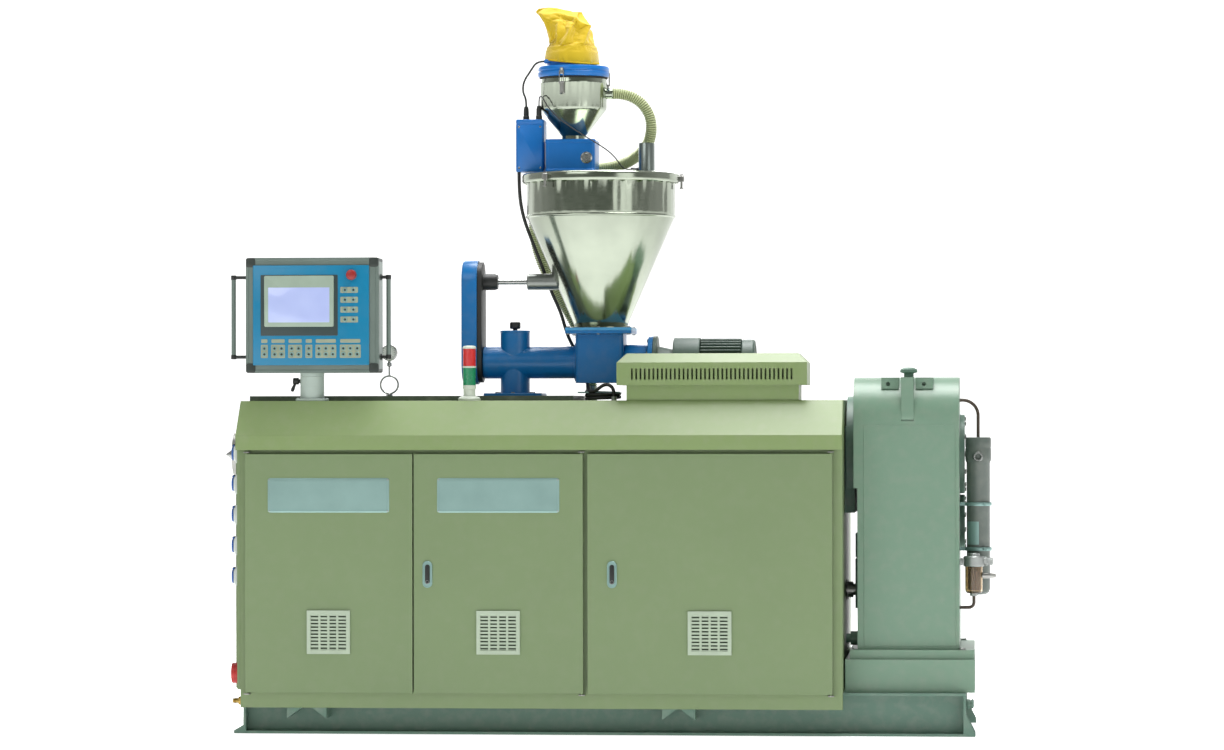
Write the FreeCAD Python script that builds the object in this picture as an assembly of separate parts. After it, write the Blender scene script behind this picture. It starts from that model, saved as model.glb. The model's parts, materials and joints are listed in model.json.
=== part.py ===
import FreeCAD, Part
import math
import os

# Conical twin-screw plastic extruder: a sheet-metal cabinet on a channel base, with the
# gearbox at its right end, the barrel's nose at its left end, and a metering feeder,
# steel hopper and vacuum loader on top.
# X runs along the machine towards the gearbox, -Y is the operator's side, +Z is up.
# The origin is on the floor under the middle of the base.  Millimetres.

os.makedirs("parts", exist_ok=True)
Vector = FreeCAD.Vector

# ------------------------------------------------------------------ driving dimensions
cabinet_length = 2414.0
cabinet_depth = 1020.0          # between the faces of the front and rear frames
cabinet_height = 1338.0         # floor to the flat top
cabinet_bottom = 109.0          # floor to the hanging bottom rail
gearbox_bay = 476.0             # length of base beyond the cabinet
cabinet_overhang = 10.0         # cabinet beyond the base at the left end
base_height = 172.0
base_depth = 890.0

channel_flange = 65.0
channel_web = 9.0
channel_flange_thickness = 11.0
cross_member_count = 5
cross_member_width = 90.0
foot_reach = 48.0               # foot plate beyond the base's end
foot_width = 110.0
foot_thickness = 12.0
anchor_hole_radius = 9.0

frame_thickness = 40.0          # depth of the cabinet's front and rear frames
sheet = 5.0                     # end sheets and top cover
floor_sheet = 6.0
bottom_rail = 62.0
left_stile = 23.0
right_stile = 39.0
door_overlap = 16.0             # door edge over the frame on each side of an opening
door_thickness = 20.0
door_skin = 2.5
door_seal_gap = 6.5             # frame face to the back of a closed door
left_door_width = 676.0
middle_door_width = 678.0
narrow_door_gap = 6.0
wide_door_gap = 18.0
door_head_gap = 16.0            # door top to the fascia
hinge_inset = 6.0               # hinge axis from the door's edge and from its face
hinge_pin_radius = 4.0
hinge_pin_clearance = 0.05
hinge_clearance = 5.0           # door end to bracket
bracket_thickness = 4.0
fascia_height = 58.0
fascia_overhang = 35.0          # fascia beyond the frame's face
slope_height = 139.0
slope_run = 125.0
rim_thickness = 14.0
rim_width = 40.0
deck_thickness = 20.0
deck_length = 1320.0
deck_front_inset = 225.0        # deck edge behind the frame's face
deck_rear_inset = 110.0

vent_size = 174.0
vent_thickness = 8.0
vent_rows = 11
vent_columns = 4
vent_row_pitch = 14.0
vent_slot_height = 5.0
vent_slot_length = 27.0
vent_column_pitch = 36.0
vent_height = 413.0             # floor to a vent's centre
handle_height = 645.0
handle_length = 108.0
handle_width = 39.0
handle_thickness = 6.0
handle_from_edge = 55.0
plate_length = 490.0
plate_height = 138.0
plate_thickness = 2.0
plate_centre_height = 960.0

barrel_drop = 220.0             # cabinet top down to the barrel's axis
barrel_radius = 80.0
barrel_flange_radius = 93.0
barrel_nose = 110.0             # flange face beyond the cabinet's left end
screw_spacing = 74.0
screw_tip_length = 32.0
flange_bolt_circle = 152.0
flange_bolt_radius = 6.0
flange_bolt_count = 8
pass_clearance = 6.0            # round holes in sheets around the barrel

gearbox_gap = 54.0              # cabinet's right end to the gearbox case
gearbox_width = 407.0
gearbox_depth = 700.0
gearbox_rise = 311.0            # barrel axis to the gearbox top
gearbox_corner = 176.0
gearbox_shoulder = 15.0         # thicker upper part of the left face
gearbox_foot_height = 131.0
gearbox_step_height = 38.0
drive_axis_height = 394.0       # base top to the drive shaft
drive_shaft_radius = 24.0
shaft_clearance = 0.05
coupling_radius = 33.0
motor_radius = 175.0
motor_length = 560.0

feeder_rise = 137.0             # deck top to the metering tube's axis
feeder_radius = 66.0
hopper_from_left = 1409.0       # cabinet's left end to the hopper's axis
outlet_offset = 355.0           # hopper axis to the vertical outlet pipe
outlet_radius = 60.0
throat_width = 197.0
feeder_flange_size = 272.0
feeder_flange_thickness = 12.0
hopper_flange_rise = 129.0      # metering axis to the hopper's flange face
hopper_mouth_radius = 105.0
hopper_radius = 304.0
hopper_wall = 3.0
hopper_cone_height = 456.0
hopper_cylinder_height = 137.0
lid_radius = 324.0
lid_thickness = 14.0
lid_skirt = 41.0

belt_centres = 331.0            # between the two pulleys of the agitator drive
pulley_cover_radius = 90.0
belt_guard_thickness = 64.0
agitator_shaft_radius = 11.0

loader_offset = -112.0          # loader vessel axis from the hopper's axis
loader_box_height = 137.0
loader_radius = 136.0
loader_wall = 2.0
loader_cone_height = 120.0
loader_cylinder_height = 123.0
loader_neck_radius = 49.0

panel_from_left = 267.0
panel_axis_inset = 160.0        # pedestal axis behind the frame's face
panel_width = 541.0
panel_height = 465.0
panel_depth = 120.0
pedestal_radius = 48.5
pedestal_height = 99.0
swivel_clearance = 0.05

tower_from_left = 908.0
hood_from_right = 523.0
hood_length = 762.0
hood_height = 90.0
hood_depth = 300.0
plinth_length = 690.0
plinth_height = 61.0

oil_cooler_radius = 47.0
oil_cooler_length = 595.0
seat_gap = 0.3                  # between curved faces that only seat on each other

# ------------------------------------------------------------------ places worked out
base_length = cabinet_length + gearbox_bay - cabinet_overhang
base_left = -base_length / 2
base_right = base_length / 2
cabinet_left = base_left - cabinet_overhang
cabinet_right = cabinet_left + cabinet_length
frame_face = cabinet_depth / 2
frame_back = frame_face - frame_thickness
fascia_face = frame_face + fascia_overhang
fascia_top = cabinet_height - slope_height
fascia_bottom = fascia_top - fascia_height
flat_half = fascia_face - slope_run
deck_top = cabinet_height + deck_thickness
barrel_axis = cabinet_height - barrel_drop
drive_axis = base_height + drive_axis_height

door_back = frame_face + door_seal_gap
door_front = door_back + door_thickness
door_bottom = cabinet_bottom + bottom_rail
door_top = fascia_bottom - door_head_gap
left_door = (cabinet_left + left_stile, cabinet_left + left_stile + left_door_width)
middle_door = (left_door[1] + narrow_door_gap, left_door[1] + narrow_door_gap + middle_door_width)
right_door = (middle_door[1] + wide_door_gap, cabinet_right - right_stile)
hinge_y = -(door_front - hinge_inset)

hopper_x = cabinet_left + hopper_from_left
feeder_axis = deck_top + feeder_rise
throat_top = feeder_axis + hopper_flange_rise
hopper_flange_top = throat_top + feeder_flange_thickness
cone_top = hopper_flange_top + hopper_cone_height
hopper_top = cone_top + hopper_cylinder_height + lid_skirt - lid_thickness
lid_top = hopper_top + lid_thickness
outlet_x = hopper_x - outlet_offset
belt_axis = feeder_axis + belt_centres

gearbox_left = cabinet_right + gearbox_gap
gearbox_right = gearbox_left + gearbox_width
gearbox_top = barrel_axis + gearbox_rise
gearbox_bottom = base_height + gearbox_foot_height + gearbox_step_height
gearbox_half = gearbox_depth / 2

panel_x = cabinet_left + panel_from_left
panel_y = -(frame_face - panel_axis_inset)


# ------------------------------------------------------------------ shapes
def block(x0, x1, y0, y1, z0, z1):
    """Box between two corners."""
    return Part.makeBox(x1 - x0, y1 - y0, z1 - z0, Vector(x0, y0, z0))


def rod(radius, start, end):
    """Round bar between two points."""
    start = Vector(*start)
    along = Vector(*end) - start
    return Part.makeCylinder(radius, along.Length, start, along)


def taper(radius_start, radius_end, start, end):
    """Cone frustum between two points."""
    start = Vector(*start)
    along = Vector(*end) - start
    return Part.makeCone(radius_start, radius_end, along.Length, start, along)


def prism(points, along):
    """Closed polygon of 3-D points swept along a vector."""
    corners = [Vector(*point) for point in points]
    outline = Part.makePolygon(corners + corners[:1])
    return Part.Face(outline).extrude(Vector(*along))


def prism_x(points, x0, x1):
    """(y, z) outline swept along X."""
    return prism([(x0, y, z) for y, z in points], (x1 - x0, 0, 0))


def prism_y(points, y0, y1):
    """(x, z) outline swept along Y."""
    return prism([(x, y0, z) for x, z in points], (0, y1 - y0, 0))


def prism_z(points, z0, z1):
    """(x, y) outline swept along Z."""
    return prism([(x, y, z0) for x, y in points], (0, 0, z1 - z0))


def turned(profile, x, y):
    """(radius, z) outline turned about a vertical axis."""
    corners = [Vector(x + radius, y, z) for radius, z in profile]
    face = Part.Face(Part.makePolygon(corners + corners[:1]))
    return face.revolve(Vector(x, y, 0), Vector(0, 0, 1), 360)


def fuse(shapes):
    """One solid from touching or crossing shapes."""
    shapes = list(shapes)
    return shapes[0].multiFuse(shapes[1:]).removeSplitter()


def cut(shape, tools):
    """Shape less all the tools."""
    return shape.cut(Part.makeCompound(list(tools)))


def mirrored_y(shape):
    """Mirror image across the machine's centre plane."""
    return shape.mirror(Vector(0, 0, 0), Vector(0, 1, 0))


def save(node, shapes):
    """Write one node's solids to its STEP file."""
    solids = [solid for shape in shapes for solid in shape.Solids]
    body = solids[0] if len(solids) == 1 else Part.makeCompound(solids)
    body.exportStep(f"parts/{node}.step")
    print(f"{node}: {len(solids)} solid(s), {sum(s.Volume for s in solids) / 1e6:.2f} litres")


def rounded_route(points, bend=None):
    """Straight runs joined by tangent arcs, all of one bend radius if it is given;
    otherwise each arc takes 0.45 of its shorter run."""
    points = [Vector(*point) for point in points]
    edges = []
    radii = []
    reached = points[0]
    for before, corner, after in zip(points, points[1:], points[2:]):
        inward = (before - corner).normalize()
        outward = (after - corner).normalize()
        turn = math.pi - inward.getAngle(outward)
        setback = 0.45 * min((corner - before).Length, (after - corner).Length)
        if bend is not None:
            setback = bend * math.tan(turn / 2)
        radius = setback / math.tan(turn / 2)
        start = corner + inward * setback
        end = corner + outward * setback
        middle_way = (inward + outward).normalize()
        centre = corner + middle_way * (radius / math.cos(turn / 2))
        edges.append(Part.LineSegment(reached, start).toShape())
        edges.append(Part.Arc(start, centre - middle_way * radius, end).toShape())
        radii.append(radius)
        reached = end
    edges.append(Part.LineSegment(reached, points[-1]).toShape())
    return Part.Wire(edges), radii


def swept_round(wire, start, towards, diameter):
    """Round bar along a wire."""
    circle = Part.Circle(Vector(*start), Vector(*towards) - Vector(*start), diameter / 2)
    return wire.makePipeShell([Part.Wire(circle.toShape())], True, False, 1)


def bent_bar(points, diameter, bend):
    """Round bar or pipe with equal bends."""
    wire, _ = rounded_route(points, bend)
    return swept_round(wire, points[0], points[1], diameter)


def cord(node, points, diameter, coiled=None):
    """Plain round solid of a cord along its route, cut off where it runs into its coil."""
    wire, radii = rounded_route(points)
    solid = swept_round(wire, points[0], points[1], diameter)
    area = math.pi * diameter * diameter / 4
    print(f"{node}: length {wire.Length:.0f}, volume over section times length "
          f"{solid.Volume / area / wire.Length:.4f}, radii {min(radii):.0f} to {max(radii):.0f}")
    if coiled:
        solid = max(cut(solid, [coiled]).Solids, key=lambda piece: piece.Volume)
    save(node, [solid])


# ------------------------------------------------------------------ base
def channel_outline(depth, outer):
    """(depth, z) outline of a rolled channel standing on its flange, open at outer."""
    inward = depth - outer
    inner = outer + channel_flange * (1 if inward > 0 else -1)
    web = inner - channel_web * (1 if inward > 0 else -1)
    top = base_height
    lip = channel_flange_thickness
    return [(outer, 0), (inner, 0), (inner, top), (outer, top),
            (outer, top - lip), (web, top - lip), (web, lip), (outer, lip)]


def base_rail():
    """Front channel of the base, its flanges facing the operator."""
    return prism_x(channel_outline(0, -base_depth / 2), base_left, base_right)


def cross_member(x):
    """Channel across the base between the two rails."""
    half = base_depth / 2 - channel_flange
    left = x - cross_member_width / 2
    lip = channel_flange_thickness
    outline = [(left, 0), (left + cross_member_width, 0), (left + cross_member_width, lip),
               (left + channel_web, lip), (left + channel_web, base_height - lip),
               (left + cross_member_width, base_height - lip),
               (left + cross_member_width, base_height), (left, base_height)]
    return prism_y(outline, -half, half)


def foot_plate(rib_height):
    """Floor plate with an anchor hole, two ribs and an end plate, at the right front corner."""
    end_plate = 10.0
    rib = 8.0
    front = -base_depth / 2
    back = front + foot_width
    root = base_right + end_plate
    tip = base_right + foot_reach
    pieces = [block(base_right, root, front, back, 0, base_height),
              block(root, tip, front, back, 0, foot_thickness)]
    for y in (front, back - rib):
        outline = [(root, foot_thickness), (tip, foot_thickness), (root, rib_height)]
        pieces.append(prism_y(outline, y, y + rib))
    hole = rod(anchor_hole_radius, (anchor_x, anchor_y, -1), (anchor_x, anchor_y, foot_thickness + 1))
    return cut(fuse(pieces), [hole])


def foot_plates():
    """Four foot plates; the left pair has lower ribs."""
    right = foot_plate(rib_height=90.0)
    left = foot_plate(rib_height=34.0).mirror(Vector(0, 0, 0), Vector(1, 0, 0))
    return [right, mirrored_y(right), left, mirrored_y(left)]


def rail_brackets():
    """Triangular gussets from the base's front web to the cabinet's hanging rail."""
    front = -(frame_face - 8)
    web = -(base_depth / 2 - channel_flange + channel_web)
    drop = 43.0
    width = 60.0
    gussets = []
    for left, right in ((187.0, 347.0), (1695.0, 1827.0)):
        a = cabinet_left + left
        b = cabinet_left + right
        low = cabinet_bottom - drop
        gussets.append(prism_y([(a, low), (a + width, cabinet_bottom), (a, cabinet_bottom)], front, web))
        gussets.append(prism_y([(b, low), (b, cabinet_bottom), (b - width, cabinet_bottom)], front, web))
    return gussets


anchor_x = base_right + foot_reach - 19.0
anchor_y = -(base_depth / 2 - foot_width / 2)
member_step = (base_length - cross_member_width) / (cross_member_count - 1)
member_start = base_left + cross_member_width / 2
save("base_rail_front", [base_rail()])
save("base_rail_rear", [mirrored_y(base_rail())])
save("base_cross_members", [cross_member(member_start + i * member_step) for i in range(cross_member_count)])
save("foot_plates", foot_plates())
save("rail_brackets", rail_brackets())


# ------------------------------------------------------------------ cabinet
def cover_outline(inset):
    """(y, z) outline of the top cover: fascia, slope, flat top, mirrored at the rear."""
    tilt = math.atan2(slope_height, slope_run)
    foot = fascia_face - inset
    bend = fascia_top - inset * math.tan((math.pi / 2 - tilt) / 2)
    ridge = flat_half - inset * math.tan(tilt / 2)
    bottom = fascia_bottom + inset
    front = [(-foot, bottom), (-foot, bend), (-ridge, cabinet_height - inset)]
    return front + [(-y, z) for y, z in reversed(front)]


def barrel_hole(x):
    """Tool for the clearance hole around the barrel in a sheet at x."""
    radius = barrel_radius + pass_clearance
    return rod(radius, (x - sheet, 0, barrel_axis), (x + sheet, 0, barrel_axis))


def door_frame():
    """Front frame of the cabinet with one opening behind each door."""
    frame = block(cabinet_left, cabinet_right, -frame_face, -frame_back, cabinet_bottom, fascia_bottom)
    openings = [block(a + door_overlap, b - door_overlap, -frame_face - 1, -frame_back + 1,
                      door_bottom + door_overlap, door_top - door_overlap)
                for a, b in (left_door, middle_door, right_door)]
    return cut(frame, openings)


def rear_panels():
    """Plain fixed panels over the openings of the rear frame."""
    thickness = 6.0
    return [block(a, b, frame_face, frame_face + thickness, door_bottom, door_top)
            for a, b in (left_door, middle_door, right_door)]


def end_sheet(x0, x1):
    """Vertical sheet that closes an end between the frames."""
    return block(x0, x1, -frame_back, frame_back, base_height + floor_sheet, fascia_bottom)


def top_cover():
    """Folded sheet hood over the cabinet, open below between its return lips."""
    hood = prism_x(cover_outline(0), cabinet_left, cabinet_right)
    inside = prism_x(cover_outline(sheet), cabinet_left + sheet, cabinet_right - sheet)
    mouth = block(cabinet_left + sheet, cabinet_right - sheet, -frame_back, frame_back,
                  fascia_bottom - 1, fascia_bottom + sheet + 1)
    throat = rod(feed_bore, (outlet_x, 0, cabinet_height - 2 * sheet), (outlet_x, 0, cabinet_height + 1))
    return cut(hood, [inside, mouth, throat, barrel_hole(cabinet_left), barrel_hole(cabinet_right)])


def end_rim():
    """Rim strip around the left end of the top cover."""
    rim = prism_x(cover_outline(0), cabinet_left - rim_thickness, cabinet_left)
    inside = prism_x(cover_outline(rim_width), cabinet_left - rim_thickness - 1, cabinet_left + 1)
    below = block(cabinet_left - rim_thickness - 1, cabinet_left + 1, -(fascia_face - rim_width),
                  fascia_face - rim_width, fascia_bottom - 1, fascia_bottom + rim_width + 1)
    return cut(rim, [inside, below])


def deck_plate():
    """Raised plate on the flat top that carries the feeder."""
    plate = block(cabinet_left, cabinet_left + deck_length, -(frame_face - deck_front_inset),
                  frame_face - deck_rear_inset, cabinet_height, deck_top)
    throat = rod(feed_bore, (outlet_x, 0, cabinet_height - 1), (outlet_x, 0, deck_top + 1))
    return cut(plate, [throat])


def bulkhead():
    """Mounting plate behind the doors with the two partitions in front of it."""
    plate = 4.0
    face = -215.0
    top = barrel_axis - barrel_radius - 25
    bottom = base_height + floor_sheet
    first = (left_door[1] + middle_door[0]) / 2
    second = (middle_door[1] + right_door[0]) / 2
    return fuse([block(cabinet_left + sheet, second + plate / 2, face - plate, face, bottom, top),
                 block(first - plate / 2, first + plate / 2, -frame_back, face, bottom, top),
                 block(second - plate / 2, second + plate / 2, -frame_back, face, bottom, top)])


feed_bore = 42.0
save("cabinet_floor", [block(cabinet_left, cabinet_right, -frame_back, frame_back,
                             base_height, base_height + floor_sheet)])
save("cabinet_front_frame", [door_frame()])
save("cabinet_rear", [fuse([mirrored_y(door_frame())] + rear_panels())])
save("cabinet_left_end", [cut(end_sheet(cabinet_left, cabinet_left + sheet), [barrel_hole(cabinet_left)])])
coupling_hole = rod(coupling_radius + 14, (cabinet_right - 2 * sheet, 0, drive_axis),
                    (cabinet_right + sheet, 0, drive_axis))
save("cabinet_right_end", [cut(end_sheet(cabinet_right - sheet, cabinet_right),
                               [barrel_hole(cabinet_right), coupling_hole])])
save("top_cover", [fuse([top_cover(), end_rim()])])
save("deck_plate", [deck_plate()])
save("bulkhead", [bulkhead()])


# ------------------------------------------------------------------ doors
def obround_y(x, z, width, length, y0, y1):
    """Upright obround plate between two depths."""
    radius = width / 2
    reach = length / 2 - radius
    return fuse([block(x - radius, x + radius, y0, y1, z - reach, z + reach),
                 rod(radius, (x, y0, z - reach), (x, y1, z - reach)),
                 rod(radius, (x, y0, z + reach), (x, y1, z + reach))])


def door(edges, hinge_x, vent_x, handle_x=None):
    """Pan-shaped sheet door with a vent hole, a lock hole and two pivot pins."""
    a, b = edges
    pan = block(a, b, -door_front, -door_back, door_bottom, door_top)
    hollow = block(a + door_skin, b - door_skin, -door_front + door_skin, -door_back + 1,
                   door_bottom + door_skin, door_top - door_skin)
    vent = vent_size / 2 - 12
    holes = [hollow, block(vent_x - vent, vent_x + vent, -door_front - 1, -door_back,
                           vent_height - vent, vent_height + vent)]
    if handle_x is not None:
        holes.append(obround_y(handle_x, handle_height, handle_width - 12 + 2 * seat_gap,
                               handle_length - 26 + 2 * seat_gap, -door_front - 1, -door_back))
    pin_reach = hinge_clearance + bracket_thickness + 1
    pin_root = 20.0
    pins = [rod(hinge_pin_radius, (hinge_x, hinge_y, door_top - pin_root),
                (hinge_x, hinge_y, door_top + pin_reach)),
            rod(hinge_pin_radius, (hinge_x, hinge_y, door_bottom - pin_reach),
                (hinge_x, hinge_y, door_bottom + pin_root))]
    return fuse([cut(pan, holes)] + pins)


def hinge_brackets(hinge_x):
    """Bored plates above and below a door, fixed to the frame's face."""
    reach = 12.0
    bore = hinge_pin_radius + hinge_pin_clearance
    plates = []
    for low in (door_top + hinge_clearance, door_bottom - hinge_clearance - bracket_thickness):
        plate = block(hinge_x - reach, hinge_x + reach, -door_front, -frame_face,
                      low, low + bracket_thickness)
        hole = rod(bore, (hinge_x, hinge_y, low - 1), (hinge_x, hinge_y, low + bracket_thickness + 1))
        plates.append(cut(plate, [hole]))
    return plates


def vent_grille(x):
    """Bevelled louvre plate on a door's face."""
    half = vent_size / 2
    bevel = 5.0
    plate = block(x - half, x + half, -door_front - vent_thickness, -door_front,
                  vent_height - half, vent_height + half)
    face = -door_front - vent_thickness
    rims = [edge for edge in plate.Edges if abs(edge.BoundBox.YMax - face) < 0.01]
    plate = plate.makeChamfer(bevel, rims)
    slots = []
    for row in range(vent_rows):
        z = vent_height + (row - (vent_rows - 1) / 2) * vent_row_pitch
        for column in range(vent_columns):
            centre = x + (column - (vent_columns - 1) / 2) * vent_column_pitch
            slots.append(block(centre - vent_slot_length / 2, centre + vent_slot_length / 2,
                               face - 1, -door_front + 1, z - vent_slot_height / 2,
                               z + vent_slot_height / 2))
    return cut(plate, slots)


def door_handle(x):
    """Flush lock plate with its body through the door's skin."""
    plate = obround_y(x, handle_height, handle_width, handle_length,
                      -door_front - handle_thickness, -door_front)
    body = obround_y(x, handle_height, handle_width - 12, handle_length - 26,
                     -door_front, -door_back - 2)
    return fuse([plate, body])


def nameplate(x):
    """Bare plate on a door's face."""
    return block(x - plate_length / 2, x + plate_length / 2, -door_front - plate_thickness, -door_front,
                 plate_centre_height - plate_height / 2, plate_centre_height + plate_height / 2)


left_hinge = left_door[0] + hinge_inset
middle_hinge = middle_door[1] - hinge_inset
right_hinge = right_door[1] - hinge_inset
left_vent = left_door[0] + left_door_width / 2
middle_vent = middle_door[0] + middle_door_width / 2
right_vent = (right_door[0] + right_door[1]) / 2
middle_handle = middle_door[0] + handle_from_edge
right_handle = right_door[0] + handle_from_edge + 43
save("door_left", [door(left_door, left_hinge, left_vent)])
save("door_middle", [door(middle_door, middle_hinge, middle_vent, middle_handle)])
save("door_right", [door(right_door, right_hinge, right_vent, right_handle)])
save("hinge_brackets", [plate for x in (left_hinge, middle_hinge, right_hinge)
                        for plate in hinge_brackets(x)])
save("door_fittings_left", [vent_grille(left_vent), nameplate(left_vent)])
save("door_fittings_middle", [vent_grille(middle_vent), nameplate(middle_vent), door_handle(middle_handle)])
save("door_fittings_right", [vent_grille(right_vent), door_handle(right_handle)])


# ------------------------------------------------------------------ left end and barrel
def socket_box():
    """Stepped cable box on the cabinet's left end."""
    outline = [(cabinet_left, -500), (cabinet_left - socket_step, -500), (cabinet_left - socket_step, -400),
               (cabinet_left - 37, -400), (cabinet_left - 37, -200), (cabinet_left, -200)]
    return prism_z(outline, base_height + 8, fascia_top - 21)


def power_socket(z):
    """Panel socket with a slanted spring lid."""
    face = cabinet_left - socket_step
    return prism_y([(face, z - 40), (face, z + 40), (face - 12, z + 40), (face - 28, z + 14),
                    (face - 22, z - 12)], -485, -415)


def power_inlet(z):
    """Round inlet of the mains supply."""
    face = cabinet_left - socket_step
    return fuse([rod(42, (face, -450, z), (face - 20, -450, z)),
                 rod(48, (face - 20, -450, z), (face - 28, -450, z))])


def water_nipple():
    """Hose nipple on the frame's left face."""
    y = -(frame_face - frame_thickness / 2)
    z = cabinet_bottom + 26
    return fuse([rod(18, (cabinet_left, y, z), (cabinet_left - 10, y, z)),
                 taper(15, 8, (cabinet_left - 10, y, z), (cabinet_left - 34, y, z))])


def barrel():
    """Screw barrel with its die flange and the feed throat on top."""
    nose = cabinet_left - barrel_nose
    flange = 30.0
    body = fuse([rod(barrel_radius, (nose, 0, barrel_axis), (cabinet_right, 0, barrel_axis)),
                 rod(barrel_flange_radius, (nose, 0, barrel_axis), (nose + flange, 0, barrel_axis)),
                 rod(feed_bore + 16, (outlet_x, 0, barrel_axis), (outlet_x, 0, cabinet_height - sheet))])
    tools = [rod(feed_bore, (outlet_x, 0, barrel_axis), (outlet_x, 0, cabinet_height))]
    for side in (-1, 1):
        y = side * screw_spacing / 2
        tools.append(rod(screw_radius + shaft_clearance, (nose - 1, y, barrel_axis),
                         (nose + screw_length, y, barrel_axis)))
    for i in range(flange_bolt_count):
        angle = 2 * math.pi * (i + 0.5) / flange_bolt_count
        y = flange_bolt_circle / 2 * math.cos(angle)
        z = barrel_axis + flange_bolt_circle / 2 * math.sin(angle)
        tools.append(rod(flange_bolt_radius, (nose - 1, y, z), (nose + flange_bolt_depth, y, z)))
    return cut(body, tools)


def screw(side):
    """Nose end of one screw, its cone standing out of the barrel."""
    nose = cabinet_left - barrel_nose
    y = side * screw_spacing / 2
    return fuse([rod(screw_radius, (nose, y, barrel_axis), (nose + screw_length - 2, y, barrel_axis)),
                 taper(screw_radius, 2, (nose, y, barrel_axis), (nose - screw_tip_length, y, barrel_axis))])


socket_step = 15.0
socket_pitch = 123.5
top_socket = fascia_top - 72
screw_radius = 27.0
screw_length = 150.0
flange_bolt_depth = 20.0
save("socket_box", [socket_box()])
sockets = [power_socket(top_socket - i * socket_pitch) for i in range(5)]
save("left_end_fittings", sockets + [power_inlet(base_height + 72), water_nipple()])
save("barrel", [barrel()])
save("screw_front", [screw(-1)])
save("screw_rear", [screw(1)])


# ------------------------------------------------------------------ gearbox and drive
def gearbox_case():
    """Cast case, rounded along its upper edges, with the shaft bore."""
    shoulder_left = gearbox_left - gearbox_shoulder
    body = block(shoulder_left, gearbox_right, -gearbox_half, gearbox_half, gearbox_bottom, gearbox_top)
    ridges = [edge for edge in body.Edges
              if abs(edge.BoundBox.ZMin - gearbox_top) < 0.01 and edge.BoundBox.XLength > gearbox_width]
    body = body.makeFillet(gearbox_corner, ridges)
    under = block(shoulder_left - 1, gearbox_left, -gearbox_half - 1, gearbox_half + 1,
                  gearbox_bottom - 1, barrel_axis - 133)
    bore = rod(drive_shaft_radius + shaft_clearance, (gearbox_left - 1, 0, drive_axis),
               (gearbox_left + shaft_seat, 0, drive_axis))
    return cut(body, [under, bore])


def gearbox_lugs(case):
    """Ribs over the case's rounded edges and the lifting pads beside them."""
    lugs = []
    for side in (-1, 1):
        inner = side * (gearbox_half - gearbox_corner)
        rib = sorted((side * gearbox_half, inner))
        pad = sorted((side * (gearbox_half - pad_inset), inner))
        lugs.append(block(rib_left, rib_left + 50, rib[0], rib[1], gearbox_top - gearbox_corner,
                          gearbox_top))
        for x in (rib_left - 80, rib_left + 57):
            lugs.append(block(x, x + 70, pad[0], pad[1], gearbox_top - 46, gearbox_top - 1))
    face = pad_inset - gearbox_half
    holes = [rod(lifting_hole_radius, (x, face - 1, gearbox_top - 27),
                 (x, face + lifting_hole_depth, gearbox_top - 27)) for x in lifting_holes]
    return [max(cut(lug, [case] + holes).Solids, key=lambda piece: piece.Volume) for lug in lugs]


def gearbox_foot():
    """Cast foot under the case: a block with a stepped upper pad."""
    top = base_height + gearbox_foot_height
    left = cabinet_right + 6
    return fuse([block(left, gearbox_right + 61, -400, 400, base_height, top),
                 block(left + 18, gearbox_right + 58, -380, 380, top, gearbox_bottom)])


def gearbox_covers():
    """Bearing covers: two round ones on the right face, two on the left below the shoulder."""
    thick = 20.0
    right = [rod(160, (gearbox_right, 0, barrel_axis), (gearbox_right + thick, 0, barrel_axis)),
             rod(112, (gearbox_right, 0, barrel_axis - 277), (gearbox_right + thick, 0, barrel_axis - 277))]
    face = gearbox_left - 16
    seal = rod(drive_shaft_radius + shaft_clearance, (face - 1, 0, drive_axis),
               (gearbox_left + 1, 0, drive_axis))
    lower = block(face, gearbox_left, -100, 100, drive_axis - 72, drive_axis + 128)
    upper = block(face, gearbox_left, -80, 80, drive_axis + 134, drive_axis + 231)
    return right + [cut(lower, [seal]), upper]


def transition_housing():
    """Lantern between the cabinet and the gearbox with its round flange."""
    end = gearbox_left - gearbox_shoulder
    return fuse([block(cabinet_right, end, -190, 190, barrel_axis - 235, barrel_axis + 112),
                 rod(235, (end - 33, 0, barrel_axis), (end, 0, barrel_axis))])


def breather_cap():
    """Mushroom breather on the gearbox."""
    z = gearbox_top
    profile = [(0, z), (20, z), (20, z + 18), (36, z + 22), (34, z + 34), (22, z + 41), (0, z + 42)]
    return turned(profile, gearbox_left + 200, 0)


def drive_coupling():
    """Motor shaft with the coupling hub, running into the gearbox."""
    left = cabinet_right - sheet - 55 - motor_seat
    hub = cabinet_right + 3
    return fuse([rod(drive_shaft_radius, (left, 0, drive_axis),
                     (gearbox_left + shaft_seat - 1, 0, drive_axis)),
                 rod(coupling_radius + 8, (hub, 0, drive_axis), (hub + 5, 0, drive_axis)),
                 rod(coupling_radius, (hub, 0, drive_axis), (hub + 24, 0, drive_axis))])


def main_motor():
    """Foot-mounted drive motor in the right compartment."""
    right = cabinet_right - sheet - 55
    left = right - motor_length
    floor = base_height + floor_sheet
    body = fuse([rod(motor_radius, (left, 0, drive_axis), (right, 0, drive_axis)),
                 block(left + 60, right - 60, -130, 130, floor, drive_axis)])
    bore = rod(drive_shaft_radius + shaft_clearance, (right - motor_seat - 1, 0, drive_axis),
               (right + 1, 0, drive_axis))
    return cut(body, [bore])


def lube_elbow():
    """Elbow of the lubrication line on the case's left face, above its foot."""
    z = gearbox_bottom + 12
    return fuse([rod(28, (gearbox_left, -250, z + 28), (gearbox_left - 30, -250, z + 28)),
                 rod(18, (gearbox_left - 20, -250, z + 28), (gearbox_left - 48, -250, z + 28))])


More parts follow.
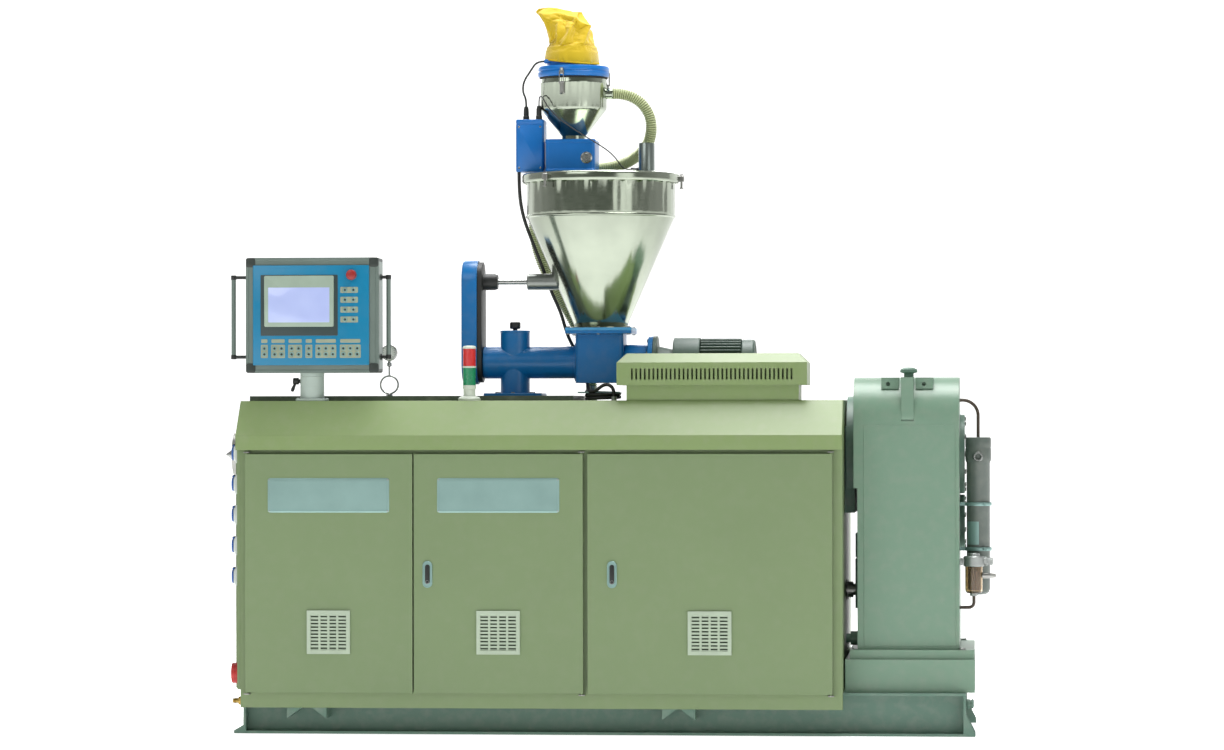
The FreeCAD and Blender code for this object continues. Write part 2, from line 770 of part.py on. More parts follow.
def drain_cock():
    """Drain stub on the base's right end."""
    z = 129.0
    return fuse([rod(15, (base_right + 10, -400, z), (base_right + 42, -400, z)),
                 rod(19, (base_right + 16, -400, z), (base_right + 26, -400, z)),
                 rod(19, (base_right + 32, -400, z), (base_right + 40, -400, z))])


shaft_seat = 40.0
motor_seat = 50.0
rib_left = gearbox_left + 176
pad_inset = 50.0
lifting_holes = (gearbox_left + 123, gearbox_left + 266)
lifting_hole_radius = 8.0
lifting_hole_depth = 20.0
case = gearbox_case()
save("gearbox_case", [case])
save("gearbox_lugs", gearbox_lugs(case))
save("gearbox_foot", [gearbox_foot()])
save("transition_housing", [transition_housing()])
save("drive_coupling", [drive_coupling()])
save("main_motor", [main_motor()])
save("gearbox_fittings", gearbox_covers() + [breather_cap(), lube_elbow(), drain_cock()])


# ------------------------------------------------------------------ oil cooler and filter
def oil_cooler():
    """Upright cylinder with a top flange, a bottom cap and a side port."""
    low = cooler_top - oil_cooler_length
    return fuse([rod(oil_cooler_radius, (cooler_x, cooler_y, low), (cooler_x, cooler_y, cooler_top)),
                 rod(cooler_flange_radius, (cooler_x, cooler_y, cooler_top),
                     (cooler_x, cooler_y, cooler_top + 40)),
                 rod(18, (cooler_x, cooler_y, cooler_top - 38),
                     (cooler_x, cooler_y - oil_cooler_radius - 14, cooler_top - 38))])


def cooler_bracket(z):
    """Clamp around the cooler with its arm to the gearbox."""
    height = 14.0
    inner = oil_cooler_radius + seat_gap
    ring = cut(rod(inner + 6, (cooler_x, cooler_y, z), (cooler_x, cooler_y, z + height)),
               [rod(inner, (cooler_x, cooler_y, z - 1), (cooler_x, cooler_y, z + height + 1))])
    arm = block(gearbox_right, cooler_x, cooler_y - inner - 6, cooler_y - inner - 1, z, z + height)
    return fuse([ring, arm])


def oil_filter():
    """Filter head on an arm from the gearbox, its glass bowl below and a side fitting."""
    x = gearbox_right + 57
    y = filter_y
    top = cooler_top - 424
    return fuse([block(gearbox_right, x, y - 14, y + 14, top - 48, top - 20),
                 rod(42, (x, y, top - 54), (x, y, top - 12)),
                 rod(24, (x, y, top - 12), (x, y, top)),
                 rod(35, (x, y, top - 160), (x, y, top - 54)),
                 rod(9, (x + 30, y, top - 90), (x + 66, y, top - 90)),
                 rod(17, (x + 66, y, top - 90), (x + 90, y, top - 90)),
                 rod(16, (x, y, top - 172), (x, y, top - 160))])


cooler_x = gearbox_right + 75
cooler_y = -150.0
cooler_top = barrel_axis + 29
cooler_flange_radius = 52.0
filter_y = cooler_y - 95
oil_pipe_diameter = 13.0
save("oil_cooler", [oil_cooler(), cooler_bracket(barrel_axis - 207), cooler_bracket(barrel_axis - 388)])
save("oil_filter", [oil_filter()])
upper_pipe = bent_bar([(gearbox_right, cooler_y, gearbox_top - 92), (cooler_x, cooler_y, gearbox_top - 92),
                       (cooler_x, cooler_y, cooler_top + 40)], oil_pipe_diameter, 62)
filter_x = gearbox_right + 57
filter_foot = cooler_top - 424 - 172
lower_pipe = bent_bar([(filter_x, filter_y, filter_foot), (filter_x, filter_y, filter_foot - 46),
                       (gearbox_right, filter_y, filter_foot - 46)], oil_pipe_diameter, 20)
save("oil_pipes", [upper_pipe, lower_pipe])


# ------------------------------------------------------------------ feeder
def square_flange(x, half, z0, z1):
    """Square plate centred on the machine's centre plane."""
    return block(x - half, x + half, -half, half, z0, z1)


def feeder_housing():
    """Metering tube with its outlet pipe, the box under the hopper and the reducer."""
    reducer = throat_right + 98
    tube_left = outlet_x - 130
    return fuse([rod(feeder_radius, (tube_left, 0, feeder_axis), (throat_left, 0, feeder_axis)),
                 rod(outlet_radius, (outlet_x, 0, deck_top), (outlet_x, 0, feeder_axis + 131)),
                 block(outlet_x - 120, outlet_x + 120, -100, 100, deck_top, deck_top + 11),
                 block(throat_left, throat_right, -95, 95, throat_bottom, throat_top),
                 square_flange(hopper_x, feeder_flange_size / 2, throat_top - feeder_flange_thickness,
                               throat_top),
                 rod(72, (throat_right, 0, feeder_axis), (reducer, 0, feeder_axis)),
                 rod(drive_flange_radius, (reducer, 0, feeder_axis), (reducer + 20, 0, feeder_axis))])


def feeder_knob():
    """Star knob of the outlet's cleaning cover."""
    z = feeder_axis + 131
    lobes = [rod(9, (outlet_x + 20 * math.cos(i * math.pi / 3), 20 * math.sin(i * math.pi / 3), z + 15),
                 (outlet_x + 20 * math.cos(i * math.pi / 3), 20 * math.sin(i * math.pi / 3), z + 35))
             for i in range(6)]
    return fuse([rod(9, (outlet_x, 0, z), (outlet_x, 0, z + 35)),
                 rod(20, (outlet_x, 0, z + 15), (outlet_x, 0, z + 35))] + lobes)


def feed_gear_unit():
    """In-line gear unit of the metering drive."""
    start = throat_right + 118
    axis = feeder_axis
    return fuse([rod(drive_flange_radius, (start, 0, axis), (start + 18, 0, axis)),
                 taper(66, 50, (start + 18, 0, axis), (start + 83, 0, axis)),
                 rod(101, (start + 83, 0, axis), (start + 193, 0, axis))])


def feed_motor():
    """Motor of the metering screw with its fan cover."""
    start = throat_right + 118 + 193
    axis = feeder_axis
    return fuse([rod(96, (start, 0, axis), (start + 170, 0, axis)),
                 rod(92, (start + 170, 0, axis), (start + 226, 0, axis))])


def feeder_tray():
    """Drip tray on a strap from the throat's front."""
    low = deck_top + 10
    front = -95.0
    strap = block(throat_left + 20, throat_left + 50, front - 6, front, low, throat_bottom + 110)
    tray = block(throat_left + 20, throat_right - 4, front - 105, front, low, low + 6)
    return fuse([strap, tray])


def belt_outline(radius, x0, x1):
    """Obround plate around both pulleys of the agitator drive."""
    return fuse([block(x0, x1, -radius, radius, feeder_axis, belt_axis),
                 rod(radius, (x0, 0, feeder_axis), (x1, 0, feeder_axis)),
                 rod(radius, (x0, 0, belt_axis), (x1, 0, belt_axis))])


def agitator_bearing():
    """Bearing housing between the belt guard and the hopper."""
    left = outlet_x - 130
    return cut(rod(bush_radius, (left, 0, belt_axis), (left + 59, 0, belt_axis)),
               [rod(agitator_shaft_radius + shaft_clearance, (left + 6, 0, belt_axis),
                    (left + 60, 0, belt_axis))])


throat_left = hopper_x - throat_width / 2
throat_right = hopper_x + throat_width / 2
throat_bottom = feeder_axis - 85
drive_flange_radius = 108.0
bush_radius = 33.5
plate_left = outlet_x - 130 - 19
save("feeder_housing", [fuse([feeder_housing(), feeder_knob(), feeder_tray()])])
save("feed_drive", [fuse([feed_gear_unit(), feed_motor()])])
belt_cover = belt_outline(pulley_cover_radius, plate_left - belt_guard_thickness, plate_left)
back_plate = belt_outline(pulley_cover_radius - 8, plate_left, outlet_x - 130)
save("belt_guard", [fuse([belt_cover, back_plate, agitator_bearing()])])
save("agitator_shaft", [rod(agitator_shaft_radius, (outlet_x - 123, 0, belt_axis),
                            (hopper_x - 191, 0, belt_axis))])


# ------------------------------------------------------------------ hopper
def hopper():
    """Spun cone and cylinder of thin sheet on a square flange, with the agitator's bush."""
    wall = hopper_wall
    mouth = hopper_mouth_radius
    profile = [(mouth - wall, throat_top), (mouth, throat_top), (mouth, hopper_flange_top),
               (hopper_radius, cone_top), (hopper_radius, hopper_top), (hopper_radius - wall, hopper_top),
               (hopper_radius - wall, cone_top), (mouth - wall, hopper_flange_top)]
    shell = turned(profile, hopper_x, 0)
    core = turned([(0, throat_top - 1), (mouth - wall, throat_top - 1), (mouth - wall, hopper_flange_top),
                   (hopper_radius - wall, cone_top), (hopper_radius - wall, hopper_top),
                   (0, hopper_top)], hopper_x, 0)
    flange = square_flange(hopper_x, feeder_flange_size / 2, throat_top, hopper_flange_top)
    bush = rod(bush_radius, (hopper_x - 245, 0, belt_axis), (hopper_x - 160, 0, belt_axis))
    bore = rod(agitator_shaft_radius + shaft_clearance, (hopper_x - 246, 0, belt_axis),
               (hopper_x - 190, 0, belt_axis))
    return cut(fuse([shell, cut(fuse([flange, bush]), [core])]), [bore])


def hopper_lid():
    """Flat lid with a turned-down skirt and its toggle clamp."""
    lid = rod(lid_radius, (hopper_x, 0, lid_top - lid_skirt), (hopper_x, 0, lid_top))
    inside = rod(hopper_radius + 2, (hopper_x, 0, lid_top - lid_skirt - 1), (hopper_x, 0, hopper_top))
    clamp = block(hopper_x + lid_radius - 4, hopper_x + lid_radius + 20, -17, 17,
                  lid_top - lid_skirt + 4, lid_top - 8)
    return cut(fuse([lid, clamp]), [inside])


save("hopper", [hopper()])
stub_pipe = rod(33, (hopper_x + 193, -60, lid_top), (hopper_x + 193, -60, lid_top + 120))
sensor_plug = (hopper_x + 137, -172, lid_top + 6)
plug_body = rod(8, sensor_plug, (sensor_plug[0] + 34, sensor_plug[1], sensor_plug[2]))
save("hopper_lid", [fuse([hopper_lid(), stub_pipe, plug_body])])


# ------------------------------------------------------------------ vacuum loader
def loader_base():
    """Box-shaped throat on a slightly wider foot, with a lock in its front."""
    foot_top = lid_top + loader_foot_thickness
    foot = block(loader_box_left, loader_box_right, -loader_foot_reach, loader_foot_reach,
                 lid_top, foot_top)
    throat = block(loader_box_left, loader_box_right, -loader_box_reach, loader_box_reach,
                   foot_top, loader_base_top)
    lock_x = loader_box_right - 36
    lock_z = lid_top + 60
    lock = rod(loader_lock_radius, (lock_x, -loader_box_reach, lock_z),
               (lock_x, -loader_foot_reach, lock_z))
    return fuse([foot, throat, lock])


def loader_control_box():
    """Control box beside the base, on a bracket, with two cable glands on top."""
    left = loader_x - 233
    right = left + 116
    box = block(left, right, -60, 60, lid_top + 6, control_box_top)
    bracket = block(right, loader_box_left, -40, 40, loader_base_top - 30, loader_base_top - 4)
    glands = []
    for x, y in (motor_gland, sensor_gland):
        glands.append(rod(11, (x, y, control_box_top), (x, y, control_box_top + 20)))
        glands.append(rod(7, (x, y, control_box_top + 20), (x, y, gland_top)))
    return fuse([box, bracket] + glands)


def loader_vessel():
    """Thin-walled receiver: neck, cone and cylinder, with the hose spigot."""
    wall = loader_wall
    neck = loader_neck_radius
    base = loader_base_top
    outer = [(0, base), (neck + 22, base), (neck + 22, base + 8), (neck, base + 10),
             (loader_radius, vessel_cone_top), (loader_radius, vessel_top), (0, vessel_top)]
    inner = [(0, base + 9), (neck - 6, base + 13), (loader_radius - wall, vessel_cone_top + 1),
             (loader_radius - wall, vessel_top + 1), (0, vessel_top + 1)]
    spigot = rod(spigot_radius, (loader_x + loader_radius - 8, 0, spigot_z), (spigot_end, 0, spigot_z))
    core = turned(inner, loader_x, 0)
    return fuse([cut(turned(outer, loader_x, 0), [core]), cut(spigot, [core])])


def loader_head():
    """Moulded lid with the blower's cap and its cable entry."""
    entry_x, entry_y, entry_z = cap_entry
    return fuse([rod(loader_radius + 10, (loader_x, 0, vessel_top), (loader_x, 0, vessel_top + 48)),
                 rod(cap_radius, (cap_x, 0, vessel_top + 48), (cap_x, 0, cap_top)),
                 rod(9, (entry_x, entry_y, entry_z), (entry_x + 40, entry_y, entry_z))])


def ellipse_wire(x, y, reach_x, reach_y, z):
    """Level ellipse, longer along X."""
    centre = Vector(x, y, z)
    curve = Part.Ellipse(centre + Vector(reach_x, 0, 0), centre + Vector(0, reach_y, 0), centre)
    return Part.Wire(curve.toShape())


def filter_bag():
    """Loose cloth filter bag over the blower's cap, leaning to the left above it."""
    stations = [(4, -4, 109, 107, cap_top - 96), (2, -3, 111, 109, cap_top - 40),
                (-4, 0, 108, 106, cap_top + 6), (-30, 0, 108, 88, cap_top + 70),
                (-45, 0, 102, 58, cap_top + 128), (-45, 0, 88, 26, cap_top + 165)]
    wires = [ellipse_wire(cap_x + dx, dy, rx, ry, z) for dx, dy, rx, ry, z in stations]
    bag = Part.makeLoft(wires, True, False)
    cap = rod(cap_radius + 0.4, (cap_x, 0, cap_top - 110), (cap_x, 0, cap_top))
    hem_left = cap_top - 44
    hem_right = cap_top - 78
    below_hem = prism_y([(cap_x - 130, hem_left - 60), (cap_x + 130, hem_right - 60),
                         (cap_x + 130, hem_right), (cap_x - 130, hem_left)], -150, 150)
    return cut(bag, [cap, below_hem])


loader_x = hopper_x + loader_offset
loader_base_top = lid_top + loader_box_height
loader_box_left = loader_x - 108
loader_box_right = loader_x + 98
loader_box_reach = 104.0
loader_foot_reach = 110.0
loader_foot_thickness = 14.0
loader_lock_radius = 24.0
vessel_cone_top = loader_base_top + 10 + loader_cone_height
vessel_top = vessel_cone_top + loader_cylinder_height
spigot_radius = 22.0
spigot_z = vessel_top - 63
spigot_end = loader_x + loader_radius + 27
control_box_top = lid_top + 221
gland_top = control_box_top + 57
motor_gland = (loader_x - 196, 0)
sensor_gland = (loader_x - 139, -40)
cap_x = loader_x - 7
cap_radius = 102.0
cap_top = vessel_top + 130
cap_entry = (cap_x - 108, -55, vessel_top + 68)
save("loader_base", [fuse([loader_base(), loader_control_box()])])
save("loader_vessel", [loader_vessel()])
save("loader_head", [loader_head()])
save("filter_bag", [filter_bag()])


# ------------------------------------------------------------------ operator panel
def panel_pedestal():
    """Foot plate and tube, bored for the swivel's spigot."""
    top = cabinet_height + pedestal_height
    foot = block(panel_x - 60, panel_x + 60, panel_y - 60, panel_y + 60, cabinet_height, cabinet_height + 10)
    column = rod(pedestal_radius, (panel_x, panel_y, cabinet_height + 10), (panel_x, panel_y, top))
    bore = rod(spindle_radius + swivel_clearance, (panel_x, panel_y, top - 61), (panel_x, panel_y, top + 1))
    return cut(fuse([foot, column]), [bore])


def panel_swivel():
    """Disc under the panel with the spindle that turns in the pedestal."""
    top = cabinet_height + pedestal_height
    return fuse([rod(pedestal_radius, (panel_x, panel_y, top + 0.5), (panel_x, panel_y, panel_bottom)),
                 rod(spindle_radius, (panel_x, panel_y, top - 60), (panel_x, panel_y, panel_bottom - 2))])


def clamp_lever():
    """Clamping lever of the swivel on the pedestal's left side."""
    z = cabinet_height + 62
    root = panel_x - pedestal_radius
    flat = root + 5
    pedestal = rod(pedestal_radius + seat_gap, (panel_x, panel_y, z - 60), (panel_x, panel_y, z + 60))
    boss = rod(9, (flat, panel_y, z), (root - 30, panel_y, z))
    lever = rod(6, (root - 26, panel_y, z), (root - 52, panel_y, z + 36))
    ball = Part.makeSphere(9, Vector(root - 52, panel_y, z + 36))
    return cut(fuse([boss, lever, ball]), [pedestal])


def panel_housing():
    """Box of the operator panel, its upright edges rounded."""
    body = block(panel_left, panel_right, panel_front, panel_front + panel_depth, panel_bottom, panel_top)
    upright = [edge for edge in body.Edges if edge.BoundBox.ZLength > panel_height - 1]
    return body.makeFillet(18, upright)


def panel_handles():
    """Bent round handles on both sides of the panel."""
    y = panel_front + 60
    low = panel_bottom + 65
    high = panel_top - 78
    return [bent_bar([(side, y, low), (side + out, y, low), (side + out, y, high), (side, y, high)], 19, 22)
            for side, out in ((panel_left, -60), (panel_right, 32))]


def panel_controls():
    """Stop button, two columns of keys and the rows of switches."""
    face = panel_face
    pieces = [rod(22, (panel_left + 431.5, face, panel_top - 70.5),
                  (panel_left + 431.5, face - 26, panel_top - 70.5))]
    for x in (panel_left + 400.5, panel_left + 434.5):
        for row in range(4):
            z = panel_top - 131 - 40 * row
            pieces.append(rod(10, (x, face, z), (x, face - 7, z)))
    for x in (76.5, 119, 142, 187, 212, 255, 306, 342, 390, 427, 448):
        for z in (panel_bottom + 98, panel_bottom + 74):
            left = panel_left + x
            pieces.append(block(left - 8, left + 8, face - 6, face, z - 7, z + 7))
    return pieces


panel_left = cabinet_left + 5.5
panel_right = panel_left + panel_width
panel_front = panel_y - 60
panel_bottom = cabinet_height + pedestal_height + 14
panel_top = panel_bottom + panel_height
panel_face = panel_front - 3
spindle_radius = 20.0
save("panel_pedestal", [panel_pedestal(), clamp_lever()])
save("panel_swivel", [panel_swivel()])
save("panel_housing", [fuse([panel_housing()] + panel_handles())])
front_plate = block(panel_left + 29.5, panel_right - 38.5, panel_face, panel_front,
                    panel_bottom + 31, panel_top - 31)
screen = block(panel_left + 61.5, panel_left + 375.5, panel_face - 5, panel_face,
               panel_bottom + 150, panel_top - 70)
save("panel_face", [fuse([front_plate, screen] + panel_controls())])


# ------------------------------------------------------------------ top fittings
def vent_hood():
    """Louvred hood with a hipped top over the motor's cooling outlet."""
    low = cabinet_height + plinth_height
    top = low + hood_height
    left = hood_left
    right = left + hood_length
    body = block(left, right, hood_front, hood_front + hood_depth, low, top)
    crown = prism_y([(left, top), (right, top), (right - 38, top + 37), (left + 38, top + 37)],
                    hood_front, hood_front + hood_depth)
    front_cut = prism_x([(hood_front - 1, top), (hood_front, top), (hood_front + 38, top + 37),
                         (hood_front + 38, top + 38), (hood_front - 1, top + 38)], left - 1, right + 1)
    back = hood_front + hood_depth
    back_cut = prism_x([(back + 1, top), (back, top), (back - 38, top + 37),
                        (back - 38, top + 38), (back + 1, top + 38)], left - 1, right + 1)
    slots = []
    slot_depth = 30
    for i in range(hood_slots):
        x = left + hood_length / 2 + (i - (hood_slots - 1) / 2) * hood_slot_pitch
        for y in (hood_front - 1, back - slot_depth):
            slots.append(block(x - 3.5, x + 3.5, y, y + slot_depth + 1, low + 22, low + 66))
    return cut(fuse([body, cut(crown, [front_cut, back_cut])]), slots)


def vacuum_gauge():
    """Dial gauge on a siphon loop and stem."""
    x = cabinet_left + 549
    y = -120.0
    z = deck_top + 177
    loop = Part.makeTorus(36, 3, Vector(x, y, deck_top + 48), Vector(0, 1, 0))
    return fuse([rod(12, (x, y, deck_top), (x, y, deck_top + 16)),
                 rod(5, (x, y, deck_top + 10), (x, y, z - 30)),
                 rod(9, (x, y, z - 50), (x, y, z - 28)), loop,
                 rod(33.5, (x, y - 14, z), (x, y + 14, z))])


def signal_tower():
    """Foot, base, two lamps and the dark rings over them."""
    z = cabinet_height
    lamps = z + 62
    steps = [(45, z, z + 8), (27, z + 8, lamps + 70), (28, lamps + 70, lamps + 77),
             (27, lamps + 77, lamps + 147), (28, lamps + 147, lamps + 160)]
    return fuse([rod(radius, (tower_x, tower_y, low), (tower_x, tower_y, high))
                 for radius, low, high in steps])


hood_slots = 38
hood_slot_pitch = 17.25
hood_left = cabinet_right - hood_from_right - hood_length / 2
hood_front = -(flat_half + 20)
tower_x = cabinet_left + tower_from_left
tower_y = -360.0
plinth = block(hood_left + 38, hood_left + 38 + plinth_length, hood_front + 25,
               hood_front + hood_depth - 25, cabinet_height, cabinet_height + plinth_height)
save("vent_hood", [fuse([vent_hood(), plinth])])
save("vacuum_gauge", [vacuum_gauge()])
save("signal_tower", [signal_tower()])


# ------------------------------------------------------------------ cords
def near(anchor, offsets):
    """Route points given as offsets from a fixed place."""
    return [(anchor[0] + x, anchor[1] + y, anchor[2] + z) for x, y, z in offsets]


def coil_ring():
    """Outer shape of the flat coil of the loader's cable."""
    x, y, z = coil_centre
    outer = coil_radius + loader_cable_diameter / 2
    inner = coil_radius - loader_cable_diameter / 2
    top = z + coil_layers * loader_cable_diameter
    return cut(rod(outer, (x, y, z), (x, y, top)), [rod(inner, (x, y, z - 1), (x, y, top + 1))])


hose_diameter = 48.0
loader_cable_diameter = 14.0
motor_cable_diameter = 8.0
sensor_cable_diameter = 5.0

# The hose runs from the vessel over the lid and down behind the hopper to a spigot on the cover.
lid_centre = (hopper_x, 0, lid_top)
cone_rim = (hopper_x, 0, cone_top)
cover_under_hopper = (hopper_x, 0, cabinet_height)
hose_exit = (spigot_end, 0, spigot_z)
hose_route = near(hose_exit, [(0, 0, 0), (48, 0, 0), (112, 2, -31), (150, 8, -85), (158, 22, -145),
                              (143, 48, -201), (100, 88, -247)])
hose_route += near(lid_centre, [(81, 132, 42), (-14, 178, 27), (-124, 232, 26), (-217, 290, 24),
                                (-277, 320, -40), (-304, 305, -135)])
hose_route += near(cone_rim, [(-304, 262, -70), (-265, 236, -197), (-179, 224, -344)])
hose_route += near(cover_under_hopper, [(-99, 213, 262), (-59, 200, 162), (-59, 200, 62)])
spigot_foot = (hopper_x - 59, 200, cabinet_height)
cord("suction_hose", hose_route, hose_diameter)

# The loader's cable drops behind the agitator's bush and the feeder, and is coiled on the cover.
coil_centre = (hopper_x + 21, -150, cabinet_height)
coil_radius = 68.0
coil_layers = 2
box_floor = (loader_x - 221, -45, lid_top + 6)
cable_route = near(box_floor, [(0, 0, 0), (0, 0, -62), (5, 20, -138), (19, 50, -206)])
cable_route += near(cone_rim, [(-284, 35, -107), (-245, 62, -212), (-214, 72, -302), (-176, 88, -386),
                               (-157, 104, -458), (-143, 118, -500), (-114, 130, -556)])
cable_route += near(cover_under_hopper, [(-84, 140, 132), (-67, 130, 62), (-57, 100, 20), (-53, 50, 7.5),
                                         (-49, -20, 7), (-47, -85, 7), (-47, -150, 7)])
coil = coil_ring()
cord("loader_cable", cable_route, loader_cable_diameter, coil)
save("loader_cable_coil", [coil])
cover_gland = (hopper_x + 73, -232, cabinet_height)
tail_route = near(cover_gland, [(0, 0, 16), (0, 0, 42), (-18, 0, 62), (-42, 2, 62), (-62, 6, 44),
                                (-78, 15, 21)])
cord("loader_cable_tail", tail_route, loader_cable_diameter, coil)
save("cover_fittings", [rod(hose_diameter / 2, spigot_foot, hose_route[-1]),
                        rod(11, cover_gland, tail_route[0])])

# The motor's cable goes from the control box up to the blower's cap.
motor_exit = (motor_gland[0], motor_gland[1], gland_top)
motor_route = near(motor_exit, [(0, 0, 0), (0, 0, 30), (-13, -14, 58), (-7, -36, 100)])
motor_route += near(cap_entry, [(-57, 5, -38), (-32, 0, 0), (0, 0, 0)])
cord("motor_cable", motor_route, motor_cable_diameter)

# The level sensor's cable hangs in front of the loader's base.
sensor_exit = (sensor_gland[0], sensor_gland[1], gland_top)
sensor_route = near(sensor_exit, [(0, 0, 0), (0, 0, 22), (6, -22, 38), (20, -54, 32), (42, -86, -8),
                                  (87, -108, -56), (144, -116, -98)])
sensor_route += near(sensor_plug, [(-191, 12, 140), (-141, 9, 110), (-92, 6, 78), (-58, 3, 44),
                                   (-38, 1, 13), (-22, 0, 0), (0, 0, 0)])
cord("sensor_cable", sensor_route, sensor_cable_diameter)
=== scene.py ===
import json
import math

import bmesh
import bpy
import numpy as np
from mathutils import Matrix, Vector

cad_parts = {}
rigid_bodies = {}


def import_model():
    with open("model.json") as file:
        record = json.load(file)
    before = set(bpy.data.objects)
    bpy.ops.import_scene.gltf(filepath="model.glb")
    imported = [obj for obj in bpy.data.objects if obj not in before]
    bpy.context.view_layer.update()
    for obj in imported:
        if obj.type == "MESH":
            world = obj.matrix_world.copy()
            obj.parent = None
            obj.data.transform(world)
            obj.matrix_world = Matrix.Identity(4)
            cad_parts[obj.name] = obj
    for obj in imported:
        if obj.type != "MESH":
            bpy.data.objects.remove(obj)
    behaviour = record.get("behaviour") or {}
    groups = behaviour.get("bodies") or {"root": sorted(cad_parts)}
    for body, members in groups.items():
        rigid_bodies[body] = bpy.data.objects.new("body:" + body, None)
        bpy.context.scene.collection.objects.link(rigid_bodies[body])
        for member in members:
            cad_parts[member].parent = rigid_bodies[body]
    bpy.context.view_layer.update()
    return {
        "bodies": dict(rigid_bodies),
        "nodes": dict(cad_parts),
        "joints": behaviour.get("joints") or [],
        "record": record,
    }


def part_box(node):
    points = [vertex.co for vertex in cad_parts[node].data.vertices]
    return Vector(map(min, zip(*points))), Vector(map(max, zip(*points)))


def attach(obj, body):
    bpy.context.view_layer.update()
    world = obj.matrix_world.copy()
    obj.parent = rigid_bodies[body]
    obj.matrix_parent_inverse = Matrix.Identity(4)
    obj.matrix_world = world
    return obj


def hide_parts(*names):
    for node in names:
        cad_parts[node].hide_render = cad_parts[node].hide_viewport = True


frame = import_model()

# ---- Studio -------------------------------------------------------------------------------
# A pale floor that curves up into a pale wall, lit by large soft panels, and the camera
# standing well back in front of the machine's right-hand half.

sweep_depth = np.linspace(0, 1, 48)
arc = np.clip((sweep_depth - 0.55) / 0.25, 0, 1) * math.pi / 2
sweep_y = -26 + 52 * np.minimum(sweep_depth, 0.55) / 0.55 + 7 * np.sin(arc)
sweep_z = 7 * (1 - np.cos(arc)) + 60 * np.clip(sweep_depth - 0.8, 0, 1)
sweep_x = np.linspace(-45, 45, 3)
sweep_points = np.stack(np.broadcast_arrays(sweep_x[:, None], sweep_y[None, :], sweep_z[None, :]), -1)


def grid_quads(rows, columns, wrapped):
    """Corner numbers of the quads between neighbouring rows and columns of a grid of points;
    a wrapped grid also joins its last column to its first."""
    row = np.arange(rows - 1)[:, None]
    column = np.arange(columns if wrapped else columns - 1)[None, :]
    following = (column + 1) % columns
    corners = [row * columns + column, row * columns + following,
               (row + 1) * columns + following, (row + 1) * columns + column]
    return np.stack(np.broadcast_arrays(*corners), -1).reshape(-1, 4)


def stage_mesh(name, points, quads, material):
    """Puts a studio surface into the scene as it is."""
    mesh = bpy.data.meshes.new(name)
    mesh.from_pydata(points.reshape(-1, 3).tolist(), [], quads.tolist())
    mesh.polygons.foreach_set("use_smooth", [True] * len(quads))
    mesh.materials.append(material)
    surface = bpy.data.objects.new(name, mesh)
    bpy.context.scene.collection.objects.link(surface)


def empty_material(name):
    """A new material with its shader and node tree at hand."""
    material = bpy.data.materials.new(name)
    material.use_nodes = True
    tree = material.node_tree
    return material, tree.nodes, tree.links, tree.nodes["Principled BSDF"]


def mixed(red, green, blue):
    """Linear colour for a swatch given as display values from 0 to 255."""
    swatch = np.array([red, green, blue]) / 255
    linear = np.where(swatch <= 0.04045, swatch / 12.92, ((swatch + 0.055) / 1.055) ** 2.4)
    return (*linear.tolist(), 1.0)


floor_paint, _, _, floor_shader = empty_material("studio_floor")
floor_shader.inputs["Base Color"].default_value = mixed(246, 246, 246)
floor_shader.inputs["Roughness"].default_value = 0.85
floor_shader.inputs["Emission Color"].default_value = (1, 1, 1, 1)
floor_shader.inputs["Emission Strength"].default_value = 0.78
stage_mesh("studio_floor", sweep_points, grid_quads(3, 48, False), floor_paint)

sky = bpy.data.worlds.new("studio")
sky.use_nodes = True
background = sky.node_tree.nodes["Background"]
sky_way = sky.node_tree.nodes.new("ShaderNodeTexCoord")
sky_parts = sky.node_tree.nodes.new("ShaderNodeSeparateXYZ")
sky_band = sky.node_tree.nodes.new("ShaderNodeValToRGB")
sky_band.color_ramp.elements[0].position = 0.20
sky_band.color_ramp.elements[0].color = (0.34, 0.37, 0.33, 1)
sky_band.color_ramp.elements[1].position = 0.62
sky_band.color_ramp.elements[1].color = (1, 1, 1, 1)
sky_half = sky.node_tree.nodes.new("ShaderNodeMath")
sky_half.operation = "MULTIPLY_ADD"
sky_half.inputs[1].default_value = 0.5
sky_half.inputs[2].default_value = 0.5
sky.node_tree.links.new(sky_way.outputs["Generated"], sky_parts.inputs["Vector"])
sky.node_tree.links.new(sky_parts.outputs["Y"], sky_half.inputs[0])
sky.node_tree.links.new(sky_half.outputs["Value"], sky_band.inputs["Fac"])
sky.node_tree.links.new(sky_band.outputs["Color"], background.inputs["Color"])
background.inputs["Strength"].default_value = 0.50
bpy.context.scene.world = sky
bpy.context.scene.view_settings.view_transform = "Standard"


def soft_panel(name, place, aim, width, height, power):
    """Rectangular lamp at a place, its face turned towards a point."""
    lamp = bpy.data.lights.new(name, "AREA")
    lamp.shape = "RECTANGLE"
    lamp.size = width
    lamp.size_y = height
    lamp.energy = power
    holder = bpy.data.objects.new(name, lamp)
    bpy.context.scene.collection.objects.link(holder)
    holder.location = place
    holder.rotation_euler = (Vector(aim) - Vector(place)).to_track_quat("-Z", "Y").to_euler()


soft_panel("key_light", place=(-4.5, -7.5, 6.5), aim=(0, 0, 1.2), width=5.0, height=4.0, power=170)
soft_panel("fill_light", place=(6.0, -7.0, 3.2), aim=(0.3, 0, 1.2), width=4.0, height=4.0, power=75)
soft_panel("top_light", place=(0.5, 0.5, 7.5), aim=(0, 0, 1.0), width=6.0, height=3.0, power=720)
soft_panel("rear_light", place=(-2.0, 8.0, 5.0), aim=(0, 0, 1.5), width=5.0, height=3.0, power=260)

